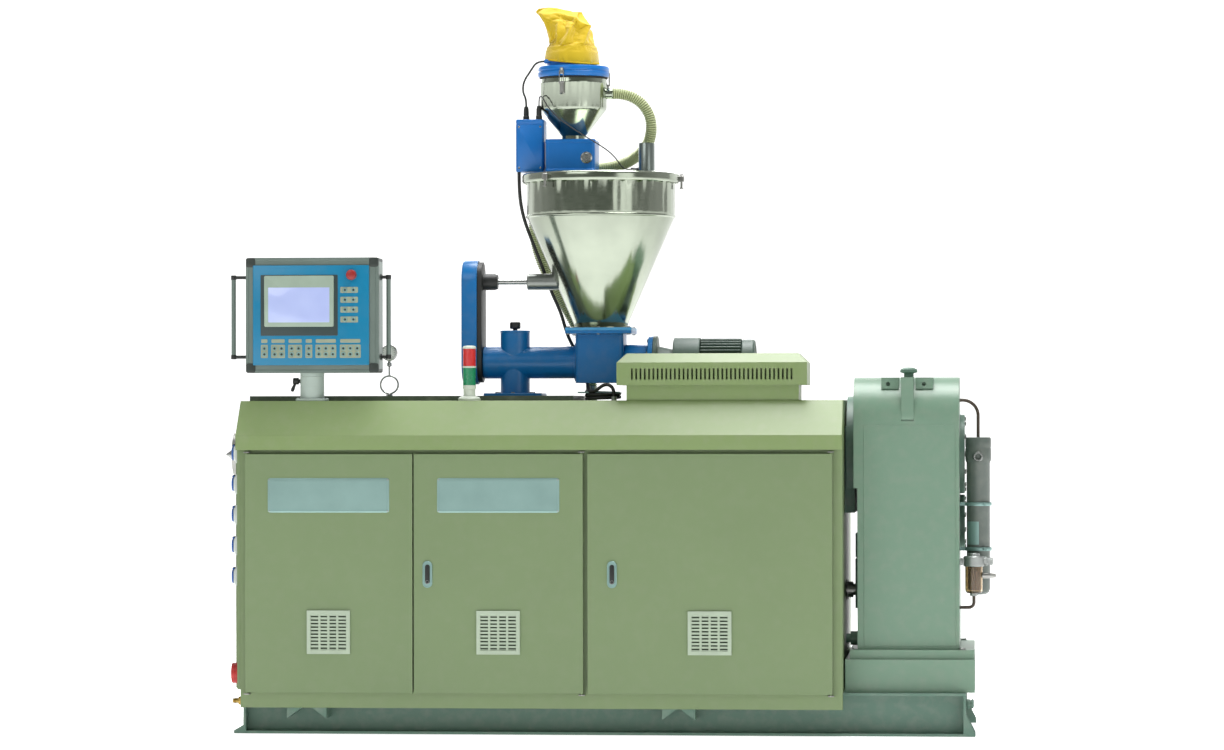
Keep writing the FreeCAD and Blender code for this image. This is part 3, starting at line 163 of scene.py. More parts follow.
camera = bpy.data.cameras.new("camera")
camera.lens = 126.9
camera.sensor_width = 36.0
camera.clip_end = 200.0
camera_holder = bpy.data.objects.new("camera", camera)
bpy.context.scene.collection.objects.link(camera_holder)
camera_holder.location = (1.558, -17.631, 1.307)
camera_holder.rotation_euler = (math.radians(90.44), math.radians(0.09), math.radians(5.04))
bpy.context.scene.camera = camera_holder

# ---- Base ---------------------------------------------------------------------------------
# Rolled steel channels welded into a frame, with cross members, drilled foot plates and the
# gussets that carry the cabinet's hanging rail; sprayed with a bluish-green machine enamel.


def added(nodes, kind, **values):
    """A new shader node of a kind, each named input set to its value (an underscore in a name
    stands for a space)."""
    node = nodes.new("ShaderNode" + kind)
    for socket, value in values.items():
        node.inputs[socket.replace("_", " ")].default_value = value
    return node


def colour_mix(nodes):
    """A new shader node that mixes two colours."""
    node = nodes.new("ShaderNodeMix")
    node.data_type = "RGBA"
    return node


def enamel(name, swatch, roughness, peel, wear, soil):
    """Sprayed enamel: a base colour clouded by slow noise, dust in patches of a finer noise,
    rubbed edges where a rounded normal leaves the true one, and orange-peel bump."""
    material, nodes, links, shader = empty_material(name)
    place = added(nodes, "TexCoord")
    cloud = added(nodes, "TexNoise", Scale=1.7, Detail=5.0)
    links.new(place.outputs["Object"], cloud.inputs["Vector"])
    base = mixed(*swatch)
    tone = colour_mix(nodes)
    tone.inputs["A"].default_value = tuple(0.93 * c for c in base[:3]) + (1,)
    tone.inputs["B"].default_value = tuple(min(1, 1.06 * c) for c in base[:3]) + (1,)
    links.new(cloud.outputs["Fac"], tone.inputs["Factor"])
    bevel = added(nodes, "Bevel", Radius=0.003)
    bevel.samples = 4
    geometry = added(nodes, "NewGeometry")
    alike = added(nodes, "VectorMath")
    alike.operation = "DOT_PRODUCT"
    links.new(bevel.outputs["Normal"], alike.inputs[0])
    links.new(geometry.outputs["Normal"], alike.inputs[1])
    patches = added(nodes, "TexNoise", Scale=23.0, Detail=6.0)
    links.new(place.outputs["Object"], patches.inputs["Vector"])
    edge = added(nodes, "MapRange", From_Min=0.97, From_Max=0.80)
    links.new(alike.outputs["Value"], edge.inputs["Value"])
    rubbed = added(nodes, "MapRange", From_Min=0.58, From_Max=0.72, To_Max=wear)
    links.new(patches.outputs["Fac"], rubbed.inputs["Value"])
    bare = added(nodes, "Math")
    bare.operation = "MULTIPLY"
    links.new(edge.outputs["Result"], bare.inputs[0])
    links.new(rubbed.outputs["Result"], bare.inputs[1])
    worn = colour_mix(nodes)
    worn.inputs["B"].default_value = mixed(120, 122, 116)
    links.new(bare.outputs["Value"], worn.inputs["Factor"])
    links.new(tone.outputs["Result"], worn.inputs["A"])
    dust = added(nodes, "MapRange", From_Min=0.45, From_Max=0.80, To_Max=soil)
    links.new(patches.outputs["Fac"], dust.inputs["Value"])
    dusty = colour_mix(nodes)
    dusty.inputs["B"].default_value = mixed(150, 150, 140)
    links.new(dust.outputs["Result"], dusty.inputs["Factor"])
    links.new(worn.outputs["Result"], dusty.inputs["A"])
    links.new(dusty.outputs["Result"], shader.inputs["Base Color"])
    gloss = added(nodes, "MapRange", To_Min=roughness - 0.05, To_Max=roughness + 0.09)
    links.new(cloud.outputs["Fac"], gloss.inputs["Value"])
    links.new(gloss.outputs["Result"], shader.inputs["Roughness"])
    peel_noise = added(nodes, "TexNoise", Scale=260.0, Detail=2.0)
    links.new(place.outputs["Object"], peel_noise.inputs["Vector"])
    bump = added(nodes, "Bump", Strength=peel, Distance=0.0004)
    links.new(peel_noise.outputs["Fac"], bump.inputs["Height"])
    links.new(bevel.outputs["Normal"], bump.inputs["Normal"])
    links.new(bump.outputs["Normal"], shader.inputs["Normal"])
    return material


def dress(material, *nodes):
    """Gives CAD nodes their finish; their shape stays."""
    for node in nodes:
        part = frame["nodes"][node]
        part.data.materials.clear()
        part.data.materials.append(material)


base_enamel = enamel("base_enamel", (92, 122, 108), roughness=0.42, peel=0.25, wear=0.8, soil=0.30)
dress(base_enamel, "base_rail_front", "base_rail_rear", "base_cross_members", "foot_plates",
      "rail_brackets")

# ---- Cabinet ------------------------------------------------------------------------------
# Folded sheet-steel housing: front and rear frames, end sheets, floor and the hood with its
# sloped front, all in one yellow-green enamel, with a galvanised mounting plate inside.
cabinet_enamel = enamel("cabinet_enamel", (118, 137, 96), roughness=0.36, peel=0.22, wear=0.5, soil=0.10)
cover_enamel = enamel("cover_enamel", (124, 144, 93), roughness=0.34, peel=0.22, wear=0.5, soil=0.14)
dress(cabinet_enamel, "cabinet_front_frame", "cabinet_rear", "cabinet_left_end",
      "cabinet_right_end", "cabinet_floor", "socket_box")
dress(cover_enamel, "top_cover", "vent_hood")
# The deck plate gets a much darker enamel than the cover: painted shade standing in for the shadow on the
# raised deck's front face.
deck_enamel_painted_shade = enamel("deck_enamel_painted_shade", (74, 85, 72), roughness=0.40, peel=0.22, wear=0.5, soil=0.25)
dress(deck_enamel_painted_shade, "deck_plate")


def toned(material, swatch, factor, dark, light):
    """Base colour between the swatch times dark and the swatch times light, by a factor."""
    tree = material.node_tree
    base = mixed(*swatch)
    tone = colour_mix(tree.nodes)
    tone.inputs["A"].default_value = tuple(dark * c for c in base[:3]) + (1,)
    tone.inputs["B"].default_value = tuple(min(1, light * c) for c in base[:3]) + (1,)
    tree.links.new(factor, tone.inputs["Factor"])
    tree.links.new(tone.outputs["Result"], tree.nodes["Principled BSDF"].inputs["Base Color"])


def roughened(material, factor, low, high):
    """Roughness between low and high, by a factor."""
    tree = material.node_tree
    rough = added(tree.nodes, "MapRange", To_Min=low, To_Max=high)
    tree.links.new(factor, rough.inputs["Value"])
    tree.links.new(rough.outputs["Result"], tree.nodes["Principled BSDF"].inputs["Roughness"])


def galvanised(name, swatch):
    """Zinc-coated sheet: crystal patches from cell noise change its tone and roughness."""
    material, nodes, links, shader = empty_material(name)
    place = added(nodes, "TexCoord")
    spangle = added(nodes, "TexVoronoi", Scale=70.0)
    links.new(place.outputs["Object"], spangle.inputs["Vector"])
    grey = added(nodes, "RGBToBW")
    links.new(spangle.outputs["Color"], grey.inputs["Color"])
    toned(material, swatch, grey.outputs["Val"], dark=0.82, light=1.0)
    roughened(material, grey.outputs["Val"], low=0.30, high=0.48)
    shader.inputs["Metallic"].default_value = 0.85
    return material


zinc_sheet = galvanised("zinc_sheet", (178, 182, 180))
dress(zinc_sheet, "bulkhead")

# ---- Doors --------------------------------------------------------------------------------
# Pan-shaped steel doors in the cabinet's enamel on turned pivot pins, each with a black
# foam-rubber seal run round its inner edge.
door_enamel = enamel("door_enamel", (115, 134, 95), roughness=0.38, peel=0.22, wear=0.4, soil=0.08)
dress(door_enamel, "door_left", "door_middle", "door_right")


def bumped(material, height, strength, distance):
    """Bump of a strength and depth from a height."""
    tree = material.node_tree
    bump = added(tree.nodes, "Bump", Strength=strength, Distance=distance)
    tree.links.new(height, bump.inputs["Height"])
    tree.links.new(bump.outputs["Normal"], tree.nodes["Principled BSDF"].inputs["Normal"])


def bare_steel(name, swatch, roughness, streak):
    """Machined steel: fine streaks from noise stretched along one axis vary the roughness and
    lift the surface, and a slow stain darkens it in places."""
    material, nodes, links, shader = empty_material(name)
    place = added(nodes, "TexCoord")
    stretch = added(nodes, "Mapping", Scale=streak)
    links.new(place.outputs["Object"], stretch.inputs["Vector"])
    lines = added(nodes, "TexNoise", Scale=1.0, Detail=3.0)
    links.new(stretch.outputs["Vector"], lines.inputs["Vector"])
    stain = added(nodes, "TexNoise", Scale=9.0, Detail=5.0)
    links.new(place.outputs["Object"], stain.inputs["Vector"])
    toned(material, swatch, stain.outputs["Fac"], dark=0.72, light=1.0)
    roughened(material, lines.outputs["Fac"], low=roughness - 0.08, high=roughness + 0.12)
    bumped(material, lines.outputs["Fac"], strength=0.12, distance=0.0002)
    shader.inputs["Metallic"].default_value = 1.0
    return material


turned_steel = bare_steel("turned_steel", (168, 168, 164), roughness=0.32, streak=(900.0, 60.0, 60.0))
dress(turned_steel, "hinge_brackets")


def moulded(name, swatch, roughness, grain):
    """Moulded plastic or rubber: a fine pebbled bump and a faint change of tone."""
    material, nodes, links, shader = empty_material(name)
    place = added(nodes, "TexCoord")
    pebble = added(nodes, "TexNoise", Scale=grain, Detail=3.0)
    links.new(place.outputs["Object"], pebble.inputs["Vector"])
    slow = added(nodes, "TexNoise", Scale=14.0)
    links.new(place.outputs["Object"], slow.inputs["Vector"])
    toned(material, swatch, slow.outputs["Fac"], dark=0.85, light=1.12)
    roughened(material, slow.outputs["Fac"], low=roughness - 0.06, high=roughness + 0.10)
    bumped(material, pebble.outputs["Fac"], strength=0.2, distance=0.0002)
    return material


seal_rubber = moulded("seal_rubber", (26, 27, 26), roughness=0.70, grain=900.0)


def joined(*shapes):
    """One shape from several: their points stacked and their faces renumbered to match."""
    points = np.concatenate([shape[0] for shape in shapes])
    starts = np.cumsum([0] + [len(shape[0]) for shape in shapes[:-1]])
    faces = [block + start for shape, start in zip(shapes, starts) for block in shape[1]]
    return points, faces


def repeated(shape, offsets):
    """Copies of a shape: every offset added to all its points at once."""
    points, faces = shape
    offsets = np.asarray(offsets, float)
    copies = (points[None] + offsets[:, None]).reshape(-1, 3)
    starts = np.arange(len(offsets))[:, None, None] * len(points)
    return copies, [(block[None] + starts).reshape(-1, block.shape[1]) for block in faces]


def lofted(rings, closed=False):
    """Skin over rings of points, each ring a closed outline; the first and last rings are
    filled, or joined to each other where the loft is closed."""
    rings = np.asarray(rings, float)
    count, size = rings.shape[:2]
    faces = [grid_quads(count, size, True)]
    if closed:
        last = (count - 1) * size + np.arange(size)
        first = np.arange(size)
        faces.append(np.stack([last, np.roll(last, -1), np.roll(first, -1), first], -1))
    else:
        faces.append(np.arange(size)[None, ::-1])
        faces.append((count - 1) * size + np.arange(size)[None])
    return rings.reshape(-1, 3), faces


def finished(name, shape, material, body, slot, *nodes, bevel=0.0, segments=2, smooth=35):
    """Puts a shape into the scene as one piece: doubled points merged, faces turned outwards,
    edges rounded, and the piece tied to its body, with the CAD nodes it stands for hidden; the slot is not
    used."""
    points, faces = shape
    mesh = bpy.data.meshes.new(name)
    mesh.from_pydata(points.tolist(), [], [face for block in faces for face in block.tolist()])
    work = bmesh.new()
    work.from_mesh(mesh)
    bmesh.ops.remove_doubles(work, verts=work.verts, dist=1e-6)
    bmesh.ops.recalc_face_normals(work, faces=work.faces)
    work.to_mesh(mesh)
    work.free()
    piece = bpy.data.objects.new(name, mesh)
    bpy.context.scene.collection.objects.link(piece)
    mesh.materials.append(material)
    mesh.polygons.foreach_set("use_smooth", [True] * len(mesh.polygons))
    mesh.set_sharp_from_angle(angle=math.radians(smooth))
    if bevel:
        rounding = piece.modifiers.new("rounded edges", "BEVEL")
        rounding.width = bevel
        rounding.segments = segments
        rounding.angle_limit = math.radians(30)
        rounding.harden_normals = True
    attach(piece, body)
    if nodes:
        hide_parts(*nodes)
    return piece


def bar(low, high):
    """Rectangular block: its outline in X and Y carried from its lowest to its highest Z."""
    (x0, y0, z0), (x1, y1, z1) = low, high
    outline = [(x0, y0), (x1, y0), (x1, y1), (x0, y1)]
    return lofted([[(x, y, z) for x, y in outline] for z in (z0, z1)])


def rim_of(x0, x1, z0, z1, width, y0, y1):
    """Picture-frame strip in the XZ plane: a rectangle of the strip's section carried round
    the four corners of the frame."""
    outer = np.array([(x0, z0), (x1, z0), (x1, z1), (x0, z1)])
    inner = outer + width * np.array([(1, 1), (-1, 1), (-1, -1), (1, -1)])
    section = [(outer, y0), (inner, y0), (inner, y1), (outer, y1)]
    rings = np.stack([np.stack([flat[:, 0], np.full(4, y), flat[:, 1]], -1) for flat, y in section], 1)
    return lofted(rings, closed=True)


for side in ("left", "middle", "right"):
    low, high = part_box(f"door_{side}")
    pin_reach = 0.010
    seal = rim_of(low[0] + 0.006, high[0] - 0.006, low[2] + pin_reach + 0.006,
                  high[2] - pin_reach - 0.006, 0.014, high[1] - 0.006, high[1] + 0.0045)
    finished(f"door_seal_{side}", seal, seal_rubber, f"door_{side}", "black_plastic", bevel=0.002)


def rounded_outline(width, height, radius, steps=6):
    """Outline of a rounded rectangle: each corner is a quarter circle of the radius about a
    centre that lies the radius in from both sides."""
    turn = np.arange(4)[:, None] * math.pi / 2 + np.linspace(0, math.pi / 2, steps)[None]
    sign = np.array([(1, 1), (-1, 1), (-1, -1), (1, -1)])[:, None]
    half = np.array([width / 2 - radius, height / 2 - radius])
    return (sign * half + radius * np.stack([np.cos(turn), np.sin(turn)], -1)).reshape(-1, 2)


def stacked(levels, origin, across=(1, 0, 0), up=(0, 0, 1)):
    """Skin over rounded rectangles: a level is (width, height, corner radius, distance), its
    outline lies in the plane of across and up and moves out along their cross product."""
    across, up = np.array(across, float), np.array(up, float)
    out = np.cross(across, up)
    rings = []
    for width, height, radius, distance in levels:
        flat = rounded_outline(width, height, radius)
        rings.append(np.array(origin) + flat[:, :1] * across + flat[:, 1:] * up + distance * out)
    return lofted(rings)


def turned(profile, origin, axis=(0, 0, 1), count=56, closed=False):
    """Surface of revolution: a profile point (radius, distance) becomes the ring
    origin + distance·axis + radius·(cos a·u + sin a·v), a going once round."""
    profile = np.asarray(profile, float)
    axis = np.array(axis, float) / np.linalg.norm(axis)
    u = np.cross(axis, (0, 1, 0) if abs(axis[1]) < 0.9 else (1, 0, 0))
    u /= np.linalg.norm(u)
    v = np.cross(axis, u)
    a = np.linspace(0, 2 * math.pi, count, endpoint=False)
    ring = np.cos(a)[:, None] * u + np.sin(a)[:, None] * v
    rings = (np.array(origin) + profile[:, 1, None, None] * axis
             + profile[:, 0, None, None] * ring[None])
    return lofted(rings, closed)


def bolt_heads(centre, out, ring, count, size, first=0.0):
    """Hexagon heads on washers, evenly spaced on a circle of radius ring about centre: one
    head is turned with six sides and shifted by ring·(cos a·u + sin a·v)."""
    out = np.array(out, float)
    u = np.cross(out, (0, 1, 0) if abs(out[1]) < 0.9 else (1, 0, 0))
    v = np.cross(out, u)
    a = first + np.arange(count) * 2 * math.pi / count
    places = ring * (np.cos(a)[:, None] * u + np.sin(a)[:, None] * v)
    head = turned([(0, 0), (size, 0), (size, 0.55 * size), (0.86 * size, 0.7 * size), (0, 0.7 * size)],
                  centre, out, 6)
    washer = turned([(0, 0), (1.35 * size, 0), (1.35 * size, 0.14 * size), (0, 0.14 * size)],
                    centre, out, 18)
    return joined(repeated(washer, places), repeated(head, places))


black_plastic = moulded("black_plastic", (30, 32, 31), roughness=0.48, grain=1200.0)
grille_plastic = moulded("grille_plastic", (168, 182, 162), roughness=0.50, grain=1200.0)
sheet_alloy = bare_steel("sheet_alloy", (146, 178, 173), roughness=0.36, streak=(40.0, 40.0, 900.0))
sheet_alloy.node_tree.nodes["Principled BSDF"].inputs["Metallic"].default_value = 0.55
filter_fleece = moulded("filter_fleece", (52, 62, 50), roughness=0.92, grain=400.0)

# ---- Door fittings ------------------------------------------------------------------------
# Each door carries a pale moulded fan grille with slanted louvres over a grey filter mat; two
# doors have a bare anodised nameplate, and two a flush swing handle with its lock.


def louvred_grille(x, z, face):
    """Grille on a door: a frame, upright ribs, and louvre blades, each blade a slanted
    four-sided section carried across the opening."""
    half = 0.087
    frame_strip = rim_of(x - half, x + half, z - half, z + half, 0.0155, face - 0.008, face)
    rib = bar((x - 0.0045, face - 0.0065, z - 0.072), (x + 0.0045, face, z + 0.072))
    ribs = repeated(rib, [(0.036 * step, 0, 0) for step in (-1, 0, 1)])
    section = np.array([(-0.007, 0.0035), (-0.0055, 0.0015), (-0.0008, -0.0062), (-0.001, -0.001)])
    blade = lofted([[(x + side * 0.073, face + y, z + rise) for y, rise in section] for side in (-1, 1)])
    blades = repeated(blade, [(0, 0, 0.014 * step) for step in range(-5, 6)])
    return joined(frame_strip, ribs, blades)


door_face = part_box("door_left")[0][1]
for side in ("left", "middle", "right"):
    low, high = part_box(f"door_fittings_{side}")
    body = f"door_{side}"
    grille_z = low[2] + 0.087
    grille_x = {"left": (low[0] + high[0]) / 2, "middle": low[0] + 0.3035, "right": high[0] - 0.087}[side]
    finished(f"fan_grille_{side}", louvred_grille(grille_x, grille_z, door_face), grille_plastic,
             body, "black_plastic", f"door_fittings_{side}", bevel=0.0006, segments=1)
    mat = stacked([(0.144, 0.144, 0.003, 0.0003), (0.144, 0.144, 0.003, 0.0011), (0.13, 0.13, 0.003, 0.0013)],
                  (grille_x, door_face, grille_z))
    finished(f"filter_mat_{side}", mat, filter_fleece, body, "black_plastic")
    if side != "right":
        plate_z = high[2] - 0.069
        plate = stacked([(0.490, 0.138, 0.010, 0.0), (0.490, 0.138, 0.010, 0.0014),
                         (0.488, 0.136, 0.009, 0.0020), (0.474, 0.122, 0.006, 0.0020),
                         (0.4735, 0.1215, 0.006, 0.0013), (0.4705, 0.1185, 0.005, 0.0013),
                         (0.470, 0.118, 0.005, 0.0020)], (grille_x, door_face, plate_z))
        finished(f"nameplate_{side}", plate, sheet_alloy, body, "zinc")
        studs = [(sx * 0.2385, 0, sz * 0.0625) for sx in (-1, 1) for sz in (-1, 1)]
        rivet = turned([(0, 0), (0.0032, 0), (0.0030, 0.0010), (0.0018, 0.0018), (0, 0.0021)],
                       (grille_x, door_face - 0.0019, plate_z), (0, -1, 0), 14)
        finished(f"nameplate_rivets_{side}", repeated(rivet, studs), turned_steel, body, "steel")
    if side != "left":
        handle_x = high[0] - 0.0195 if side == "middle" else low[0] + 0.0195
        if side == "middle":
            handle_x = -0.690
        handle_z = 0.645
        dish = stacked([(0.039, 0.108, 0.0194, 0.0), (0.039, 0.108, 0.0194, 0.0042),
                        (0.036, 0.105, 0.0179, 0.0058), (0.031, 0.100, 0.0154, 0.0058),
                        (0.029, 0.098, 0.0144, 0.0030)], (handle_x, door_face, handle_z))
        finished(f"handle_dish_{side}", dish, sheet_alloy, body, "zinc")
        lever = stacked([(0.019, 0.078, 0.0093, 0.0028), (0.019, 0.078, 0.0093, 0.0066),
                         (0.016, 0.075, 0.0078, 0.0076)], (handle_x, door_face, handle_z))
        lock = turned([(0, 0.0072), (0.0075, 0.0072), (0.0075, 0.0080), (0.0064, 0.0082), (0.0062, 0.0074),
                       (0, 0.0074)], (handle_x, door_face, handle_z - 0.031), (0, -1, 0), 28)
        finished(f"handle_lever_{side}", lever, black_plastic, body, "black_plastic")
        finished(f"handle_lock_{side}", lock, turned_steel, body, "steel")

# ---- Switchgear ---------------------------------------------------------------------------
# Behind the left and middle doors the plate carries slotted wiring ducts, steel mounting rails
# and rows of snap-on switching modules, screwed and clipped on.
plate_low, plate_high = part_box("bulkhead")
plate_face = plate_high[1] - 0.004
duct_plastic = moulded("duct_plastic", (168, 172, 168), roughness=0.50, grain=900.0)
module_plastic = moulded("module_plastic", (64, 68, 70), roughness=0.45, grain=900.0)
for place, x0, x1 in (("left", plate_low[0] + 0.05, -0.79), ("middle", -0.71, -0.10)):
    middle = (x0 + x1) / 2
    span = x1 - x0
    duct = stacked([(span, 0.056, 0.002, 0.0), (span, 0.056, 0.002, 0.044),
                    (span - 0.004, 0.060, 0.002, 0.045), (span - 0.004, 0.060, 0.002, 0.051),
                    (span - 0.008, 0.056, 0.002, 0.052)], (middle, plate_face, 0.34))
    finger = bar((x0 + 0.004, plate_face - 0.043, 0.3085), (x0 + 0.012, plate_face - 0.002, 0.3715))
    fingers = repeated(finger, np.arange(int(span / 0.014))[:, None] * np.array([[0.014, 0, 0]]))
    heights = [(0, 0, 0.22 * row) for row in range(3)]
    finished(f"wiring_ducts_{place}", repeated(joined(duct, fingers), heights), duct_plastic,
             "machine", "hose")
    hat = np.array([(-0.0175, 0.0), (-0.0125, 0.0), (-0.0125, 0.0065), (0.0125, 0.0065), (0.0125, 0.0),
                    (0.0175, 0.0), (0.0175, 0.001), (0.0135, 0.001), (0.0135, 0.0075), (-0.0135, 0.0075),
                    (-0.0135, 0.001), (-0.0175, 0.001)])
    rail = lofted([[(x, plate_face - depth, 0.45 + rise) for rise, depth in hat] for x in (x0 + 0.01,
            x1 - 0.01)])
    finished(f"mounting_rails_{place}", repeated(rail, heights), zinc_sheet, "machine", "zinc")
    module = joined(
        stacked([(0.043, 0.084, 0.002, 0.008), (0.043, 0.084, 0.002, 0.050), (0.043, 0.046, 0.002, 0.052),
                 (0.043, 0.044, 0.002, 0.074), (0.040, 0.041, 0.002, 0.076)], (x0 + 0.05, plate_face, 0.45)),
        repeated(turned([(0, 0.050), (0.0042, 0.050), (0.0042, 0.0525), (0.0030, 0.0528), (0, 0.0510)],
                        (x0 + 0.05, plate_face, 0.45), (0, -1, 0), 12),
                 [(dx, 0, dz) for dx in (-0.013, 0, 0.013) for dz in (-0.033, 0.033)]))
    count = int((span - 0.1) / 0.047)
    columns = [(0.047 * step, 0, 0.22 * row) for row in range(3) for step in range(count)
               if (step * 7 + row * 5) % 9 not in (4, 8)]
    finished(f"switch_modules_{place}", repeated(module, columns), module_plastic, "machine",
             "black_plastic")

# ---- Left end -----------------------------------------------------------------------------
# Five hinged-lid heater sockets of blue and grey plastic are screwed to the socket box; below
# them are the red power inlet and the brass water nipple.
socket_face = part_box("left_end_fittings")[0][0] + 0.028
toward_left = dict(across=(0, -1, 0), up=(0, 0, 1))
socket_blue = moulded("socket_blue", (32, 84, 158), roughness=0.38, grain=1000.0)
socket_grey = moulded("socket_grey", (196, 202, 198), roughness=0.42, grain=1000.0)
inlet_red = moulded("inlet_red", (176, 36, 32), roughness=0.40, grain=1000.0)
yellow_brass = bare_steel("yellow_brass", (188, 158, 88), roughness=0.30, streak=(60.0, 60.0, 700.0))
drops = [(0, 0, -0.1235 * step) for step in range(5)]
socket_at = (socket_face, -0.450, 1.127)
body_of_socket = stacked([(0.069, 0.078, 0.008, 0.0), (0.069, 0.078, 0.008, 0.010),
                          (0.060, 0.062, 0.012, 0.012), (0.056, 0.058, 0.014, 0.018)], socket_at,
                         **toward_left)
lid_of_socket = joined(
    stacked([(0.050, 0.052, 0.018, 0.018), (0.054, 0.056, 0.020, 0.020), (0.054, 0.056, 0.020, 0.025),
             (0.046, 0.048, 0.018, 0.0275)], socket_at, **toward_left),
    turned([(0, -0.02), (0.004, -0.02), (0.004, 0.02), (0, 0.02)],
           (socket_face - 0.020, -0.450, 1.127 + 0.031), (0, 1, 0), 16))
finished("heater_socket_bodies", repeated(body_of_socket, drops), socket_grey, "machine",
         "hose", "left_end_fittings", bevel=0.0006)
finished("heater_socket_lids", repeated(lid_of_socket, drops), socket_blue, "machine",
         "panel_blue", bevel=0.0006)
springs = turned([(0.0052 + 0.0010 * (step % 2), -0.013 + 0.0013 * step) for step in range(21)],
                 (socket_face - 0.020, -0.450, 1.127 + 0.031), (0, 1, 0), 16)
finished("heater_socket_springs", repeated(springs, drops), black_plastic, "machine", "black_plastic")
inlet = turned([(0, 0), (0.048, 0), (0.048, 0.006), (0.042, 0.008), (0.042, 0.024), (0.0405, 0.0275),
                (0.036, 0.0275), (0.035, 0.012), (0, 0.012)], (socket_face, -0.450, 0.244), (-1, 0, 0), 48)
finished("power_inlet", inlet, inlet_red, "machine", "signal_plastic")
nipple_at = (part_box("cabinet_front_frame")[0][0], -0.490, 0.135)
nipple = turned([(0, 0), (0.017, 0), (0.017, 0.010), (0.010, 0.012), (0.010, 0.016), (0.0115, 0.019),
                 (0.009, 0.0215), (0.0115, 0.025), (0.009, 0.0275), (0.0115, 0.031), (0.008, 0.034),
                 (0.005, 0.034), (0.005, 0.01), (0, 0.01)], nipple_at, (-1, 0, 0), 28)
finished("water_nipple", nipple, yellow_brass, "machine", "brass")

# ---- Barrel and screws --------------------------------------------------------------------
# The machined barrel lies under the hood with its bolted die flange at the left; the two
# conical screws stick out of it, turned and polished.
polished_steel = bare_steel("polished_steel", (176, 178, 176), roughness=0.24, streak=(60.0, 60.0, 60.0))
dress(turned_steel, "barrel")
dress(polished_steel, "screw_front", "screw_rear")

# ---- Gearbox ------------------------------------------------------------------------------
# Cast-iron case on a fabricated foot, sprayed bluish green, with lifting lugs, machined end
# covers held by rings of hexagon bolts, and the drive coupling and motor inside the cabinet.
gearbox_enamel = enamel("gearbox_enamel", (112, 141, 121), roughness=0.34, peel=0.55, wear=0.6, soil=0.22)
dress(gearbox_enamel, "gearbox_case", "gearbox_lugs", "gearbox_foot")
dress(base_enamel, "gearbox_fittings", "transition_housing")
motor_enamel = enamel("motor_enamel", (78, 98, 90), roughness=0.45, peel=0.35, wear=0.6, soil=0.25)
dress(motor_enamel, "main_motor")
dress(turned_steel, "drive_coupling")
case_low, case_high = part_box("gearbox_case")
cover_face = case_high[0] + 0.020
barrel_z = (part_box("screw_front")[0][2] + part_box("screw_front")[1][2]) / 2
zinc_bolts = bare_steel("zinc_bolts", (150, 154, 150), roughness=0.38, streak=(300.0, 300.0, 300.0))
covers = joined(bolt_heads((cover_face, 0, barrel_z), (1, 0, 0), 0.143, 12, 0.0085),
                bolt_heads((cover_face, 0, barrel_z - 0.277), (1, 0, 0), 0.097, 10, 0.0075))
finished("cover_bolts", covers, zinc_bolts, "machine", "steel")
foot_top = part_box("gearbox_foot")[1][2]
studs = [(sx * 0.222, sy * 0.3645, 0) for sx in (-1, 1) for sy in (-1, 1)]
foot_bolt = bolt_heads(((case_low[0] + case_high[0]) / 2, 0, foot_top), (0, 0, 1), 0.0, 1, 0.012)
finished("foot_bolts", repeated(foot_bolt, studs), zinc_bolts, "machine", "steel")
joint_strip = rim_of(case_low[0] + 0.04, case_high[0] - 0.012, foot_top + 0.012, case_high[2] - 0.19, 0.004,
                     case_low[1] - 0.0012, case_low[1] + 0.002)
finished("case_joint_bead", joint_strip, gearbox_enamel, "machine", "gearbox_green", bevel=0.0008)

# ---- Oil system ---------------------------------------------------------------------------
# A cast-headed oil cooler stands at the gearbox's end in two clamp bands, with a filter whose
# clear bowl shows the dark element; bent steel pipes join them to the case.
cooler_enamel = enamel("cooler_enamel", (88, 98, 92), roughness=0.40, peel=0.45, wear=0.6, soil=0.2)
pipe_enamel = enamel("pipe_enamel", (66, 52, 40), roughness=0.35, peel=0.2, wear=0.7, soil=0.1)
dress(pipe_enamel, "oil_pipes")
cooler = (1.500, -0.150)
tank = turned([(0, 0.552), (0.030, 0.554), (0.042, 0.562), (0.047, 0.578), (0.047, 1.085), (0.0505, 1.092),
               (0.052, 1.100), (0.052, 1.140), (0.0505, 1.146), (0.052, 1.152), (0.052, 1.181),
               (0.049, 1.187), (0.014, 1.187), (0.0, 1.187)], (*cooler, 0))
port = turned([(0, 0.045), (0.021, 0.045), (0.021, 0.056), (0.017, 0.061), (0.011, 0.061), (0.010, 0.052),
               (0, 0.052)], (*cooler, 1.109), (0, -1, 0), 32)
port_ring = turned([(0.0125, 0.0600), (0.0175, 0.0600), (0.0185, 0.0615), (0.0175, 0.0630), (0.0130, 0.0630),
                    (0.0125, 0.0615)], (*cooler, 1.109), (0, -1, 0), 36, closed=True)
finished("cooler_port_ring", port_ring, polished_steel, "machine", "steel")
finished("cooler_tank", joined(tank, port), cooler_enamel, "machine", "gearbox_green", "oil_cooler",
         bevel=0.0006)
band = turned([(0.0472, -0.007), (0.0530, -0.007), (0.0542, -0.004), (0.0542, 0.004), (0.0530, 0.007),
               (0.0472, 0.007)], (*cooler, 0.918), closed=True)
arm = stacked([(0.020, 0.014, 0.003, 0.0), (0.020, 0.014, 0.003, 0.0320)],
              (1.4250, -0.150, 0.918), across=(0, 1, 0), up=(0, 0, 1))
ear = stacked([(0.012, 0.014, 0.002, 0.0), (0.012, 0.014, 0.002, 0.016)],
              (cooler[0] + 0.028, -0.150 - 0.044, 0.918))
finished("cooler_bands", repeated(joined(band, arm, ear), [(0, 0, 0), (0, 0, -0.181)]), sheet_alloy,
         "machine", "zinc", bevel=0.0005)
tag_angle = np.linspace(-1.15, 0.05, 24) - math.pi / 2
tag_ring = np.stack([np.cos(tag_angle), np.sin(tag_angle)], -1)
tag_outline = np.array(cooler) + np.concatenate([0.0472 * tag_ring, 0.0478 * tag_ring[::-1]])
tag = lofted([np.column_stack([tag_outline, np.full(len(tag_outline), z)]) for z in (0.755, 0.848)])
